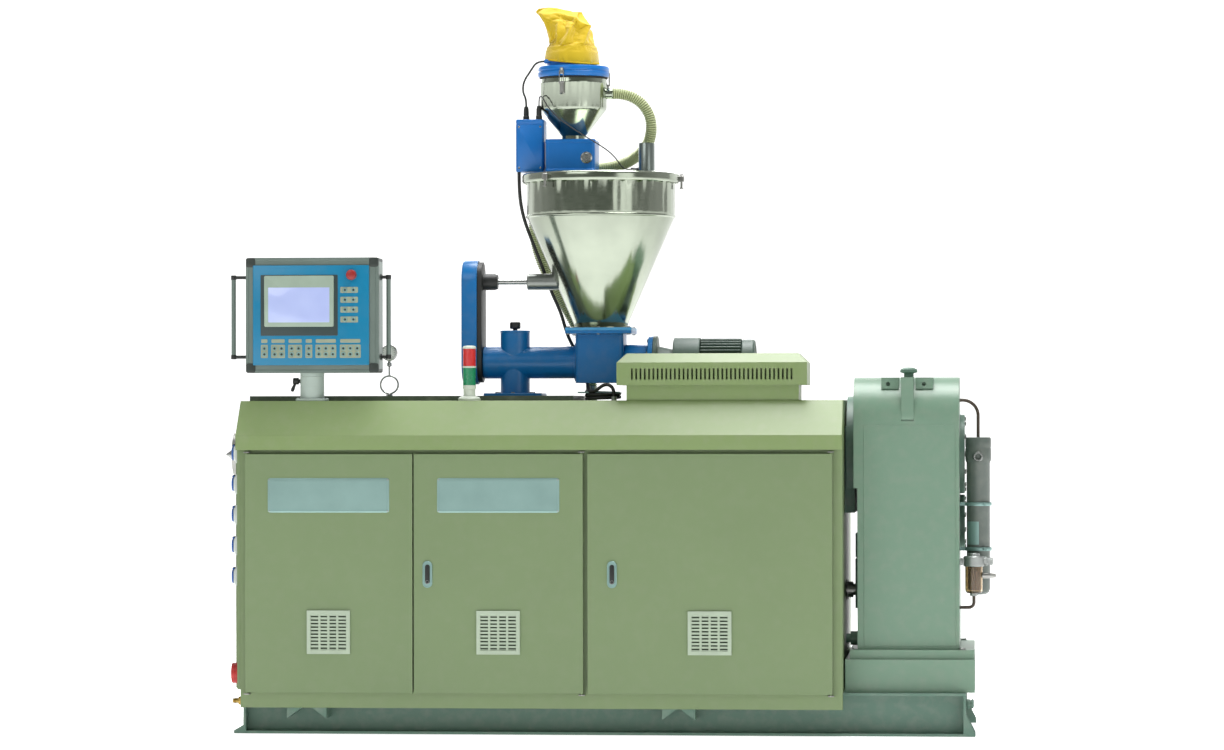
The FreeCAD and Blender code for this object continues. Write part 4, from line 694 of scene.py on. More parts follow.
finished("cooler_tag", tag, sheet_alloy, "machine", "zinc")
filter_at = (1.482, -0.245, 0)
alloy_casting = bare_steel("alloy_casting", (176, 180, 178), roughness=0.42, streak=(120.0, 120.0, 120.0))
head = joined(turned([(0, 0.669), (0.038, 0.669), (0.042, 0.673), (0.042, 0.707), (0.038, 0.711),
                      (0.024, 0.712), (0.024, 0.721), (0.022, 0.723), (0, 0.723)], filter_at),
              turned([(0, 0.036), (0.019, 0.036), (0.019, 0.052), (0.0150, 0.054), (0.0150, 0.0745),
                      (0.0125, 0.0765), (0, 0.0765)], (1.482, -0.245, 0.690), (1, 0, 0), 6),
              stacked([(0.028, 0.028, 0.004, 0.0), (0.028, 0.028, 0.004, 0.030)], (1.4250, -0.245, 0.689),
                      (0, 1, 0), (0, 0, 1)), turned([(0, 0.551), (0.014, 0.551), (0.016, 0.553),
        (0.016, 0.562), (0, 0.562)], filter_at, count=6))
finished("filter_head", head, alloy_casting, "machine", "zinc", "oil_filter", bevel=0.0006)
side_port = turned([(0, 0.034), (0.012, 0.034), (0.012, 0.060), (0.010, 0.066), (0.008, 0.088), (0, 0.090)],
                   (1.482, -0.245, 0.633), (1, 0, 0), 28)
finished("filter_port", side_port, turned_steel, "machine", "steel")
bowl_glass, glass_nodes, _, glass = empty_material("bowl_glass")
glass.inputs["Base Color"].default_value = mixed(226, 200, 160)
glass.inputs["Roughness"].default_value = 0.06
glass.inputs["Transmission Weight"].default_value = 0.95
glass.inputs["IOR"].default_value = 1.49
grease = glass_nodes.new("ShaderNodeTexNoise")
grease.inputs["Scale"].default_value = 40.0
smear = glass_nodes.new("ShaderNodeBump")
smear.inputs["Strength"].default_value = 0.05
bowl_glass.node_tree.links.new(grease.outputs["Fac"], smear.inputs["Height"])
bowl_glass.node_tree.links.new(smear.outputs["Normal"], glass.inputs["Normal"])
bowl = turned([(0, 0.562), (0.028, 0.563), (0.033, 0.568), (0.035, 0.576), (0.035, 0.6685), (0.0318, 0.6685),
               (0.0318, 0.578), (0.029, 0.571), (0, 0.570)], filter_at)
finished("filter_bowl", bowl, bowl_glass, "machine", "signal_plastic")
pleats = np.linspace(0, 2 * math.pi, 120, endpoint=False)
pleat_radius = 0.0235 + 0.0018 * np.cos(20 * pleats)
pleat_ring = np.stack([pleat_radius * np.cos(pleats), pleat_radius * np.sin(pleats)], -1) + filter_at[:2]
element = lofted([np.column_stack([pleat_ring, np.full(120, z)]) for z in (0.574, 0.666)])
finished("filter_element", element, moulded("filter_element", (70, 30, 22), roughness=0.6, grain=700.0),
         "machine", "hose", smooth=70)

# ---- Feeder -------------------------------------------------------------------------------
# Blue-sprayed metering screw housing on a flanged outlet, with a slide knob; the gear motor is
# bolted to its right-hand flange, and the agitator's belt runs in the guard at the left.
feeder_enamel = enamel("feeder_enamel", (0, 104, 168), roughness=0.30, peel=0.3, wear=0.5, soil=0.08)
feeder_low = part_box("feeder_housing")[0]
feed_z = 1.495
outlet_x = -0.396
tube = turned([(0, feeder_low[0]), (0.060, feeder_low[0]), (0.066, feeder_low[0] + 0.004), (0.066, -0.148),
               (0.078, -0.148), (0.078, -0.1395), (0, -0.1395)], (0, 0, feed_z), (1, 0, 0))
outlet = turned([(0, 1.358), (0.060, 1.358), (0.060, 1.618), (0.0615, 1.619), (0.0615, 1.624), (0.060, 1.626),
                 (0, 1.626)], (outlet_x, 0, 0))
foot = stacked([(0.240, 0.200, 0.008, 1.358), (0.240, 0.200, 0.008, 1.367), (0.236, 0.196, 0.008, 1.369)],
               (outlet_x, 0, 0), up=(0, 1, 0))
throat = stacked([(0.197, 0.190, 0.020, 1.410), (0.197, 0.190, 0.020, 1.608), (0.272, 0.272, 0.006, 1.612),
                  (0.272, 0.272, 0.006, 1.624)], (-0.041, 0, 0), up=(0, 1, 0))
reducer = turned([(0, 0.0575), (0.070, 0.0575), (0.072, 0.060), (0.072, 0.152), (0.080, 0.1555),
                  (0.106, 0.1555), (0.108, 0.158), (0.108, 0.1755), (0, 0.1755)], (0, 0, feed_z), (1, 0, 0))
finished("feeder_housing_shell", joined(tube, outlet, foot, throat, reducer), feeder_enamel, "machine",
         "feeder_blue", "feeder_housing", bevel=0.0012)
knob = turned([(0, 1.626), (0.009, 1.626), (0.009, 1.632), (0.020, 1.634), (0.022, 1.637), (0.022, 1.656),
               (0.019, 1.661), (0, 1.661)], (outlet_x, 0, 0), count=40)
finished("outlet_knob", knob, black_plastic, "machine", "black_plastic")
tray = joined(bar((-0.1195, -0.200, 1.368), (0.0535, -0.095, 1.371)),
              bar((-0.1195, -0.200, 1.371), (0.0535, -0.197, 1.374)))
finished("cable_tray", tray, sheet_alloy, "machine", "zinc", bevel=0.0006)
feeder_bolts = joined(bolt_heads((0.1555, 0, feed_z), (-1, 0, 0), 0.094, 8, 0.007, 0.39),
                      bolt_heads((outlet_x, 0, 1.369), (0, 0, 1), 0.082, 6, 0.007, 0.52),
                      repeated(bolt_heads((-0.041, 0, 1.612), (0, 0, -1), 0.0, 1, 0.007),
                               [(0.124 * sx, 0.124 * sy, 0) for sx in (-1, 0, 1) for sy in (-1, 1)]))
finished("feeder_bolts", feeder_bolts, zinc_bolts, "machine", "steel")
gear_grey = enamel("gear_grey", (74, 92, 84), roughness=0.42, peel=0.5, wear=0.5, soil=0.12)
axis_x = dict(origin=(0, 0, feed_z), axis=(1, 0, 0))
gear_unit = turned([(0, 0.1755), (0.106, 0.1755), (0.108, 0.178), (0.108, 0.1905), (0.104, 0.1935),
                    (0.068, 0.1935), (0.064, 0.200), (0.052, 0.2560), (0.056, 0.2585), (0.098, 0.2585),
                    (0.101, 0.262), (0.101, 0.364), (0.098, 0.3685), (0, 0.3685)], **axis_x)
finished("feed_gear_unit", gear_unit, gear_grey, "machine", "motor_grey", "feed_drive", bevel=0.001)
around = np.linspace(0, 2 * math.pi, 288, endpoint=False)
fins = 0.0885 + 0.0075 * np.clip(2.2 * np.cos(36 * around), -1, 1)
fin_ring = np.stack([fins * np.cos(around), fins * np.sin(around)], -1)
motor = lofted([np.column_stack([np.full(288, x), share * fin_ring[:, 0], feed_z + share * fin_ring[:, 1]])
                for x, share in ((0.3685, 0.90), (0.372, 1.0), (0.535, 1.0), (0.5385, 0.9))])
box_on_motor = stacked([(0.085, 0.062, 0.006, 0.070), (0.085, 0.062, 0.006, 0.100),
                        (0.079, 0.056, 0.005, 0.1035)], (0.452, 0, feed_z), (-1, 0, 0), (0, 0, 1))
finished("feed_motor", joined(motor, box_on_motor), gear_grey, "machine", "motor_grey", smooth=50)
cowl = turned([(0, 0.5385), (0.088, 0.5385), (0.092, 0.542), (0.092, 0.585), (0.086, 0.592), (0.070, 0.5945),
               (0.070, 0.591), (0, 0.591)], **axis_x)
finished("fan_cowl", cowl, gear_grey, "machine", "motor_grey")
guard_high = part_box("belt_guard")[1]
belt_z = (feed_z, guard_high[2] - 0.090)
half_turn = np.linspace(0, math.pi, 29)


def racetrack(radius, x):
    """Two half circles of the radius round the pulley centres, joined by straight sides."""
    turn = np.concatenate([half_turn, half_turn + math.pi])
    centre = np.repeat([belt_z[1], belt_z[0]], len(half_turn))
    return np.column_stack([np.full(len(turn), x), radius * np.cos(turn), centre + radius * np.sin(turn)])


guard = lofted([racetrack(0.090, -0.545), racetrack(0.090, -0.600), racetrack(0.087, -0.606),
                racetrack(0.082, -0.609)])
finished("belt_guard_shell", guard, feeder_enamel, "machine", "feeder_blue", "belt_guard", bevel=0.0005)
back_plate = lofted([racetrack(0.082, -0.545), racetrack(0.082, -0.527), racetrack(0.080, -0.526)])
bearing = turned([(0, -0.526), (0.0335, -0.526), (0.0335, -0.480), (0.029, -0.467), (0.013, -0.467),
                  (0, -0.467)], (0, 0, belt_z[1]), (1, 0, 0))
finished("belt_back_plate", joined(back_plate, bearing), black_plastic, "machine", "black_plastic")
shaft_low, shaft_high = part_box("agitator_shaft")
shaft = turned([(0, shaft_low[0]), (0.011, shaft_low[0]), (0.011, -0.330), (0.0125, -0.329), (0.0125, -0.324),
                (0.011, -0.323), (0.011, -0.234), (0, shaft_high[0])], (0, 0, belt_z[1]), (1, 0, 0), 32)
finished("agitator_shaft_turned", shaft, polished_steel, "agitator", "steel", "agitator_shaft")

# ---- Hopper -------------------------------------------------------------------------------
# Spun stainless cone and cylinder with rolled beads, polished to a mirror, on a square flange;
# a bush for the agitator shaft is welded into the cone.
mirror_steel = bare_steel("mirror_steel", (172, 180, 164), roughness=0.15, streak=(24.0, 24.0, 420.0))
hopper_low, hopper_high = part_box("hopper")
hopper_x = hopper_high[0] - 0.304
cone_top = 2.092
hopper_profile = [(0.100, 1.630), (0.105, 1.636), (0.304, cone_top), (0.304, 2.110), (0.304, 2.170),
                  (0.304, 2.2345), (0.304, 2.236), (0.3025, 2.2415), (0.3040, 2.247), (0.3035, 2.256),
                  (0.3005, 2.256), (0.3005, 2.242), (0.3005, cone_top + 0.001), (0.1020, 1.638)]


def rippled(shape, x, low, high, depth):
    """The spun skin's faint upright ripples: between two heights every point moves in or out
    by depth times a sum of sines of its angle about the upright axis through x."""
    points, faces = shape
    angle = np.arctan2(points[:, 1], points[:, 0] - x)
    wave = np.sin(31 * angle) + 0.8 * np.sin(47 * angle + 1.3) + 0.6 * np.sin(19 * angle + 0.4)
    move = depth * wave * ((points[:, 2] > low) & (points[:, 2] < high))
    return points + np.stack([move * np.cos(angle), move * np.sin(angle), 0 * move], -1), faces


skin = rippled(turned(hopper_profile, (hopper_x, 0, 0), count=360, closed=True), hopper_x, cone_top + 0.01,
               2.235, 0.0004)
bead_turn = np.linspace(0, 2 * math.pi, 13)[:-1]
bead = turned(np.column_stack([0.3035 + 0.0042 * np.cos(bead_turn), cone_top + 0.006 * np.sin(bead_turn)]),
              (hopper_x, 0, 0), count=120, closed=True)
flange = stacked([(0.272, 0.272, 0.006, hopper_low[2]), (0.272, 0.272, 0.006, hopper_low[2] + 0.012)],
                 (hopper_x, 0, 0), up=(0, 1, 0))
bush = turned([(0, hopper_low[0]), (0.0115, hopper_low[0]), (0.030, hopper_low[0]),
               (0.0335, hopper_low[0] + 0.003), (0.0335, -0.200), (0, -0.200)], (0, 0, belt_z[1]), (1, 0, 0))
pale_blue = enamel("pale_blue", (70, 150, 200), roughness=0.30, peel=0.25, wear=0.5, soil=0.04)
finished("hopper_flange", flange, pale_blue, "machine", "feeder_blue", bevel=0.001)
finished("hopper_bush", bush, zinc_bolts, "machine", "steel")
neck_ring = turned([(0.098, hopper_low[2] + 0.012), (0.126, hopper_low[2] + 0.012),
                    (0.126, hopper_low[2] + 0.015), (0.112, hopper_low[2] + 0.019),
                    (0.098, hopper_low[2] + 0.019)], (hopper_x, 0, 0), count=96, closed=True)
finished("hopper_skin", joined(skin, bead, neck_ring), mirror_steel, "machine", "polished_steel", "hopper")
flange_bolts = bolt_heads((hopper_x, 0, hopper_low[2] + 0.012), (0, 0, 1), 0.0, 1, 0.007)
finished("hopper_bolts", repeated(flange_bolts, [(0.124 * sx, 0.124 * sy, 0) for sx in (-1, 0,
        1) for sy in (-1, 1)]), zinc_bolts, "machine", "steel")

# ---- Hopper lid ---------------------------------------------------------------------------
# Pressed stainless lid with a rolled edge, held down by three toggle clamps; a capped filling
# pipe and the level sensor's plug stand on it.
lid_profile = [(0, 2.2700), (0.285, 2.2695), (0.309, 2.2685), (0.318, 2.266), (0.3225, 2.262),
               (0.324, 2.256), (0.324, 2.240), (0.3235, 2.233), (0.3205, 2.229), (0.3165, 2.231),
               (0.3155, 2.236), (0.3180, 2.240), (0.3180, 2.254), (0.3120, 2.262), (0, 2.264)]
lid = turned(lid_profile, (hopper_x, 0, 0), count=120)
pipe_at = (0.152, -0.060, 0)
stub = turned([(0, 2.270), (0.038, 2.270), (0.038, 2.2725), (0.033, 2.2745), (0.033, 2.388), (0.0322, 2.390),
               (0.0305, 2.390), (0.0300, 2.386), (0.0300, 2.280), (0, 2.280)], pipe_at)
finished("hopper_lid_pressed", lid, mirror_steel, "machine", "polished_steel", "hopper_lid")
drawn_steel = bare_steel("drawn_steel", (150, 160, 156), roughness=0.30, streak=(160.0, 160.0, 4.0))
finished("filling_pipe", stub, drawn_steel, "machine", "steel")
clamp_angle = np.radians([0, 128, 232])
clamp_reach = 0.3315 * np.column_stack([np.cos(clamp_angle), np.sin(clamp_angle), 0 * clamp_angle])
clamp = joined(
    turned([(0, 2.205), (0.008, 2.205), (0.008, 2.209), (0.0045, 2.211), (0.0045, 2.258), (0.008, 2.260),
            (0.008, 2.264), (0, 2.264)], (hopper_x, 0, 0), count=20),
    stacked([(0.022, 0.030, 0.003, 2.234), (0.022, 0.030, 0.003, 2.256), (0.019, 0.027, 0.003, 2.258)],
            (hopper_x, 0, 0), up=(0, 1, 0)))
finished("lid_clamps", repeated(clamp, clamp_reach), turned_steel, "machine", "steel")
plug = turned([(0, 0.096), (0.006, 0.096), (0.008, 0.099), (0.008, 0.112), (0.0068, 0.114), (0.0068, 0.118),
               (0.008, 0.120), (0.008, 0.130), (0, 0.130)], (0, -0.172, 2.276), (1, 0, 0), 20)
sensor_clip = stacked([(0.022, 0.010, 0.002, 2.2695), (0.022, 0.010, 0.002, 2.2715)], (0.113, -0.172, 0),
                      up=(0, 1, 0))
finished("sensor_plug", joined(plug, sensor_clip), black_plastic, "machine", "black_plastic")

# ---- Loader base --------------------------------------------------------------------------
# Moulded blue plastic throat and control box of the vacuum loader, with a key lock, a screwed
# cover, and two black cable glands on the box's top.
loader_plastic = moulded("loader_plastic", (0, 106, 184), roughness=0.30, grain=500.0)
base_low, base_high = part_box("loader_base")
throat_x = -0.158
loader_throat = stacked([(0.206, 0.220, 0.012, base_low[2]), (0.206, 0.220, 0.012, 2.280),
                         (0.202, 0.216, 0.012, 2.283), (0.202, 0.206, 0.014, 2.286),
                         (0.202, 0.204, 0.014, 2.392), (0.206, 0.208, 0.016, 2.394),
                         (0.206, 0.208, 0.016, 2.403), (0.198, 0.200, 0.014, base_high[2] - 0.141)],
                        (throat_x, 0, 0), up=(0, 1, 0))
box_x = -0.328
control_box = stacked(
    [(0.112, 0.116, 0.010, 2.276), (0.116, 0.120, 0.010, 2.280), (0.116, 0.120, 0.010, 2.470),
     (0.114, 0.118, 0.010, 2.472), (0.114, 0.118, 0.010, 2.474), (0.116, 0.120, 0.010, 2.476),
     (0.116, 0.120, 0.010, 2.487), (0.110, 0.114, 0.008, 2.491)], (box_x, 0, 0), up=(0, 1, 0))
finished("loader_throat", joined(loader_throat, control_box), loader_plastic, "machine", "loader_blue",
         "loader_base", bevel=0.001)
cover_of_box = stacked([(0.106, 0.186, 0.008, 0.0), (0.106, 0.186, 0.008, 0.0022),
                        (0.102, 0.182, 0.007, 0.0034)], (box_x, -0.060, 2.376))
finished("control_box_cover", cover_of_box, loader_plastic, "machine", "loader_blue", bevel=0.0005)
gland = turned([(0, 2.491), (0.013, 2.491), (0.013, 2.506), (0.011, 2.508), (0.011, 2.520), (0.0105, 2.534),
                (0.0075, 2.547), (0.0052, 2.548), (0.0052, 2.540), (0, 2.540)], (0, 0, 0), count=12)
glands = repeated(gland, [(-0.349, 0, 0), (-0.292, -0.040, 0)])
finished("loader_glands", glands, black_plastic, "machine", "black_plastic")
screw = turned([(0, 0.0), (0.0042, 0.0), (0.0042, 0.0016), (0.0030, 0.0026), (0.0012, 0.0026),
                (0.0012, 0.0012), (0, 0.0012)], (box_x, -0.0632, 2.376), (0, -1, 0), 18)
screws = repeated(screw, [(0.044 * sx, 0, 0.084 * sz) for sx in (-1, 1) for sz in (-1, 1)])
lock = turned([(0, 0.100), (0.024, 0.100), (0.024, 0.106), (0.018, 0.109), (0.018, 0.1095), (0, 0.1095)],
              (-0.091, 0.001, 2.330), (0, -1, 0), 36)
lock_bar = stacked([(0.010, 0.034, 0.003, 0.1095), (0.010, 0.034, 0.003, 0.1130),
                    (0.008, 0.032, 0.003, 0.1140)], (-0.091, 0, 2.330))
finished("loader_lock", joined(lock, lock_bar, screws), polished_steel, "machine", "steel")

# ---- Loader vessel ------------------------------------------------------------------------
# Spun stainless vessel with a rolled band and a suction spigot; three toggle latches of bent
# sheet and wire pull the head down onto it.
vessel_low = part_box("loader_vessel")[0]
vessel_x = (vessel_low[0] + 0.136)
vessel_profile = [(0, 2.407), (0.049, 2.407), (0.049, 2.424), (0.060, 2.436), (0.130, 2.526),
                  (0.1345, 2.532), (0.136, 2.540), (0.136, 2.634), (0.1375, 2.637), (0.1375, 2.643),
                  (0.136, 2.646), (0.136, 2.657), (0.134, 2.660), (0, 2.660)]
spigot = turned([(0, -0.040), (0.022, -0.040), (0.022, 0.006), (0.0235, 0.008), (0.0225, 0.010),
                 (0.019, 0.010), (0.019, -0.010), (0, -0.010)], (0, 0, 2.597), (1, 0, 0), 40)
vessel_skin = rippled(turned(vessel_profile, (vessel_x, 0, 0), count=360), vessel_x, 2.5385, 2.636, 0.00025)
finished("vessel_spun", joined(vessel_skin, spigot), mirror_steel, "machine",
         "polished_steel", "loader_vessel")
latch_plate = stacked([(0.022, 0.052, 0.004, 0.1365), (0.022, 0.052, 0.004, 0.1390),
                       (0.015, 0.044, 0.004, 0.1440), (0.015, 0.044, 0.004, 0.1460)], (0, 0, 2.614))
latch_hook = stacked([(0.015, 0.026, 0.003, 0.1440), (0.015, 0.026, 0.003, 0.1475),
                      (0.012, 0.023, 0.003, 0.1485)], (0, 0, 2.683))
latch_wire = rim_of(-0.0105, 0.0105, 2.630, 2.684, 0.0028, -0.1506, -0.1476)
latch = joined(latch_plate, latch_hook, latch_wire, turned([(0, -0.012), (0.0040, -0.012), (0.0040, 0.012),
        (0, 0.012)], (0, -0.1465, 2.636), (1, 0, 0), 14))


def swung(shape, angle, x):
    """A shape made facing the front at x 0, turned by an angle about the upright axis
    through x: (px·cos - py·sin + x, px·sin + py·cos)."""
    points, faces = shape
    spin = np.array([[math.cos(angle), math.sin(angle), 0], [-math.sin(angle), math.cos(angle), 0],
                     [0, 0, 1]])
    return points @ spin + np.array([x, 0, 0]), faces


latches = joined(*(swung(latch, math.radians(turn), vessel_x) for turn in (-14, 106, 226)))
finished("vessel_latches", latches, turned_steel, "machine", "steel")

# ---- Loader head --------------------------------------------------------------------------
# Blue moulded lid and motor cap with raised rings and an entry boss for the motor's cable; a
# rubber gasket seals it on the vessel.
cap_x = -0.160
lid_of_head = turned([(0, 2.664), (0.139, 2.664), (0.144, 2.667), (0.146, 2.671), (0.146, 2.684),
                      (0.1435, 2.687), (0.1435, 2.690), (0.146, 2.693), (0.146, 2.702), (0.143, 2.707),
                      (0.137, 2.708), (0, 2.708)], (vessel_x, 0, 0), count=96)
cap_of_head = turned([(0, 2.706), (0.104, 2.706), (0.104, 2.712), (0.102, 2.714), (0.102, 2.738),
                      (0.1045, 2.741), (0.1045, 2.746), (0.102, 2.749), (0.1015, 2.772), (0.098, 2.783),
                      (0.090, 2.789), (0, 2.790)], (cap_x, 0, 0), count=96)
boss = turned([(0, -0.268), (0.0065, -0.268), (0.009, -0.264), (0.009, -0.228), (0, -0.228)],
              (0, -0.055, 2.728), (1, 0, 0), 24)
finished("head_lid", joined(lid_of_head, cap_of_head, boss), loader_plastic, "machine", "loader_blue",
         "loader_head")
gasket = turned([(0.120, 2.6585), (0.139, 2.6585), (0.1405, 2.6600), (0.1405, 2.6635), (0.139, 2.665),
                 (0.120, 2.665)], (vessel_x, 0, 0), count=96, closed=True)
finished("head_gasket", gasket, seal_rubber, "machine", "black_plastic")

# ---- Filter bag ---------------------------------------------------------------------------
# Yellow woven polyester sock, sewn flat at its top and held round the motor cap by a drawn
# hem; it stands up, leans to the left and sags into crumples.
bag_stations = np.array([(0.001, -0.003, 0.1085, 0.1085, 2.731), (0.001, -0.003, 0.1090, 0.1090, 2.742),
                         (0.001, -0.002, 0.1070, 0.1080, 2.768), (0.004, 0.000, 0.1010, 0.1050, 2.792),
                         (0.008, -0.006, 0.0950, 0.0960, 2.806), (0.002, -0.010, 0.0960, 0.0900, 2.829),
                         (-0.012, -0.008, 0.1000, 0.0820, 2.856), (-0.026, -0.003, 0.1040, 0.0680, 2.885),
                         (-0.040, 0.002, 0.1020, 0.0480, 2.916), (-0.044, 0.003, 0.0980, 0.0240, 2.936),
                         (-0.0450, 0.003, 0.0930, 0.0070, 2.945)])
bag_rows, bag_columns = 90, 144
row_share = np.linspace(0, 1, bag_rows)
station_share = np.linspace(0, 1, len(bag_stations))
fine = np.stack([np.interp(row_share, station_share, column) for column in bag_stations.T], -1)
kernel = np.hanning(15) / np.hanning(15).sum()
fine = np.stack([np.convolve(np.pad(column, 7, mode="reflect", reflect_type="odd"), kernel, "valid")
                 for column in fine.T], -1)
turn = np.linspace(0, 2 * math.pi, bag_columns, endpoint=False)[None]
rise = row_share[:, None]
loose = np.clip((rise - 0.22) * 3.5, 0, 1)


def creased(across_turn, up_rise, shift):
    """Sharp crumples: 1 - 2·|sin| of a slanted coordinate that a second sine bends."""
    return 1 - 2 * np.abs(np.sin(across_turn * turn + up_rise * rise + shift
                                 + 0.7 * np.sin(2 * turn - 5 * rise + shift)))


folds = (0.0105 * creased(1.5, 4.2, 0.7) * loose + 0.0085 * creased(-2.5, 5.6, 2.1) * loose
         + 0.0050 * creased(4.0, -7.5, 0.2) * loose
         + 0.0018 * np.sin(22 * turn + 2 * np.sin(3 * turn)) * np.exp(-((rise - 0.05) / 0.06) ** 2)
         + 0.0020 * np.sin(6 * turn + 3 * rise) * (1 - loose) - 0.0010)
folds = np.maximum(folds, -0.0012 - 0.02 * loose)
hem_slant = 0.0165 * (1 - rise) ** 3 * -np.cos(turn + 0.85)
bag_x = cap_x + fine[:, 0:1] + (fine[:, 2:3] + folds) * np.cos(turn)
bag_y = fine[:, 1:2] + (fine[:, 3:4] + folds * np.clip(fine[:, 3:4] / 0.06, 0.1, 1)) * np.sin(turn)
bag_z = fine[:, 4:5] + hem_slant + rise ** 4 * (0.010 * np.cos(2.0 * np.cos(turn) + 1.2) - 0.002)
bag_grid = np.stack([bag_x, bag_y, bag_z], -1)


def woven(name, swatch, thread):
    """Woven cloth: two wave patterns across the cloth's own UV grid make warp and weft, which
    shade the colour and lift the surface; a slow noise fades and soils it; a soft sheen."""
    material, nodes, links, shader = empty_material(name)
    lay = added(nodes, "UVMap")
    lay.uv_map = "cloth"
    waves = []
    for direction in ("X", "Y"):
        wave = added(nodes, "TexWave", Scale=thread, Distortion=0.6, Detail_Scale=4.0)
        wave.bands_direction = direction
        links.new(lay.outputs["UV"], wave.inputs["Vector"])
        waves.append(wave)
    weave = added(nodes, "Math")
    weave.operation = "MULTIPLY"
    links.new(waves[0].outputs["Fac"], weave.inputs[0])
    links.new(waves[1].outputs["Fac"], weave.inputs[1])
    place = added(nodes, "TexCoord")
    fade = added(nodes, "TexNoise", Scale=11.0, Detail=6.0)
    links.new(place.outputs["Object"], fade.inputs["Vector"])
    blend = added(nodes, "Math")
    blend.operation = "MULTIPLY_ADD"
    blend.inputs[1].default_value = 0.5
    links.new(weave.outputs["Value"], blend.inputs[0])
    links.new(fade.outputs["Fac"], blend.inputs[2])
    toned(material, swatch, blend.outputs["Value"], dark=0.74, light=1.0)
    bumped(material, weave.outputs["Value"], strength=0.35, distance=0.0004)
    shader.inputs["Roughness"].default_value = 0.88
    shader.inputs["Sheen Weight"].default_value = 0.35
    return material


bag_points = bag_grid.reshape(-1, 3)
bag_quads = grid_quads(bag_rows, bag_columns, True)
seam = (bag_rows - 1) * bag_columns + np.arange(bag_columns)
seam_quads = np.stack([seam[:bag_columns // 2 - 1], seam[1:bag_columns // 2],
                       seam[bag_columns // 2:][::-1][:-1], seam[bag_columns // 2:][::-1][1:]], -1)[:,
        [0, 1, 3, 2]]
bag_cloth = woven("bag_cloth", (212, 180, 8), 520.0)


def sagged(points, quads, held_below, frames, reach):
    """Cloth let go from a shape: held where it is lower than held_below, it falls under its own
    weight for some frames, and each point is stopped after at most reach along the way it fell.
    The result is then stretched upwards by reach at its top, in proportion to the height of
    the start, so that it ends as high as it began."""
    share = np.clip((points[:, 2:] - held_below) / (points[:, 2].max() - held_below), 0, 1)
    mesh = bpy.data.meshes.new("sagging")
    mesh.from_pydata(points.tolist(), [], np.concatenate(quads).tolist())
    trial = bpy.data.objects.new("sagging", mesh)
    bpy.context.scene.collection.objects.link(trial)
    hem_group = trial.vertex_groups.new(name="hem")
    hem_group.add(np.flatnonzero(points[:, 2] < held_below).tolist(), 1.0, "REPLACE")
    cloth = trial.modifiers.new("cloth", "CLOTH")
    cloth.settings.quality = 6
    cloth.settings.mass = 0.0004
    cloth.settings.tension_stiffness = 20.0
    cloth.settings.compression_stiffness = 20.0
    cloth.settings.bending_stiffness = 0.12
    cloth.settings.vertex_group_mass = "hem"
    cloth.collision_settings.use_self_collision = True
    cloth.collision_settings.self_distance_min = 0.0015
    cloth.point_cache.frame_end = frames
    for frame in range(1, frames + 1):
        bpy.context.scene.frame_set(frame)
    shape = trial.evaluated_get(bpy.context.evaluated_depsgraph_get()).data
    fallen = np.zeros(len(shape.vertices) * 3)
    shape.vertices.foreach_get("co", fallen)
    move = fallen.reshape(-1, 3) - points
    size = np.linalg.norm(move, axis=1, keepdims=True)
    bpy.data.objects.remove(trial)
    bpy.data.meshes.remove(mesh)
    bpy.context.scene.frame_set(1)
    fallen = points + move * np.minimum(1, reach / np.maximum(size, 1e-9))
    return fallen + share * np.array([[0.0, 0.0, reach]])


def off_the_cap(points, radius, top):
    """Points inside an upright cylinder about the cap's axis, moved out of it the nearer way:
    up to its top, or straight outwards to its side."""
    across = points[:, :2] - np.array([[cap_x, 0.0]])
    away = np.maximum(np.linalg.norm(across, axis=1), 1e-6)
    inside = (away < radius) & (points[:, 2] < top)
    upwards = inside & (top - points[:, 2] < radius - away)
    outwards = inside & ~upwards
    across = across * np.where(outwards, radius / away, 1.0)[:, None]
    height = np.where(upwards, top, points[:, 2])
    return np.column_stack([across[:, 0] + cap_x, across[:, 1], height])


bag_points = sagged(bag_points, [bag_quads, seam_quads], held_below=2.765, frames=14, reach=0.014)
bag_points = off_the_cap(bag_points, radius=0.1032, top=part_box("loader_head")[1][2] + 0.0012)
bag = finished("filter_bag_cloth", (bag_points, [bag_quads, seam_quads]), bag_cloth, "machine", "bag_cloth",
               "filter_bag", smooth=180)
cloth_map = bag.data.uv_layers.new(name="cloth")
corner_of = np.zeros(len(bag.data.loops), int)
bag.data.loops.foreach_get("vertex_index", corner_of)
spot = np.zeros(len(bag.data.vertices) * 3)
bag.data.vertices.foreach_get("co", spot)
spot = spot.reshape(-1, 3)
girth = np.arctan2(spot[:, 1], spot[:, 0] - cap_x) * 0.10
cloth_map.data.foreach_set("uv", np.column_stack([girth, spot[:, 2]])[corner_of].ravel())
thickness = bag.modifiers.new("cloth thickness", "SOLIDIFY")
thickness.thickness = 0.0008
thickness.offset = 1
hem_turn = np.linspace(0, 2 * math.pi, 120, endpoint=False)
hem_level = 2.732 + 0.0165 * -np.cos(hem_turn + 0.85)
section = np.linspace(0, 2 * math.pi, 9)[:-1]
hem_radius = 0.1090 + 0.0012 * np.sin(40 * hem_turn)[:, None] + 0.0026 * np.cos(section)[None]
hem = np.stack([cap_x + 0.002 + hem_radius * np.cos(hem_turn)[:, None],
                -0.003 + hem_radius * np.sin(hem_turn)[:, None],
                hem_level[:, None] + 0.0040 * np.sin(section)[None]], -1)
finished("bag_draw_hem", lofted(hem, closed=True), moulded("hem_cord", (206, 170, 20), roughness=0.85,
        grain=1500.0), "machine", "bag_cloth", smooth=180)

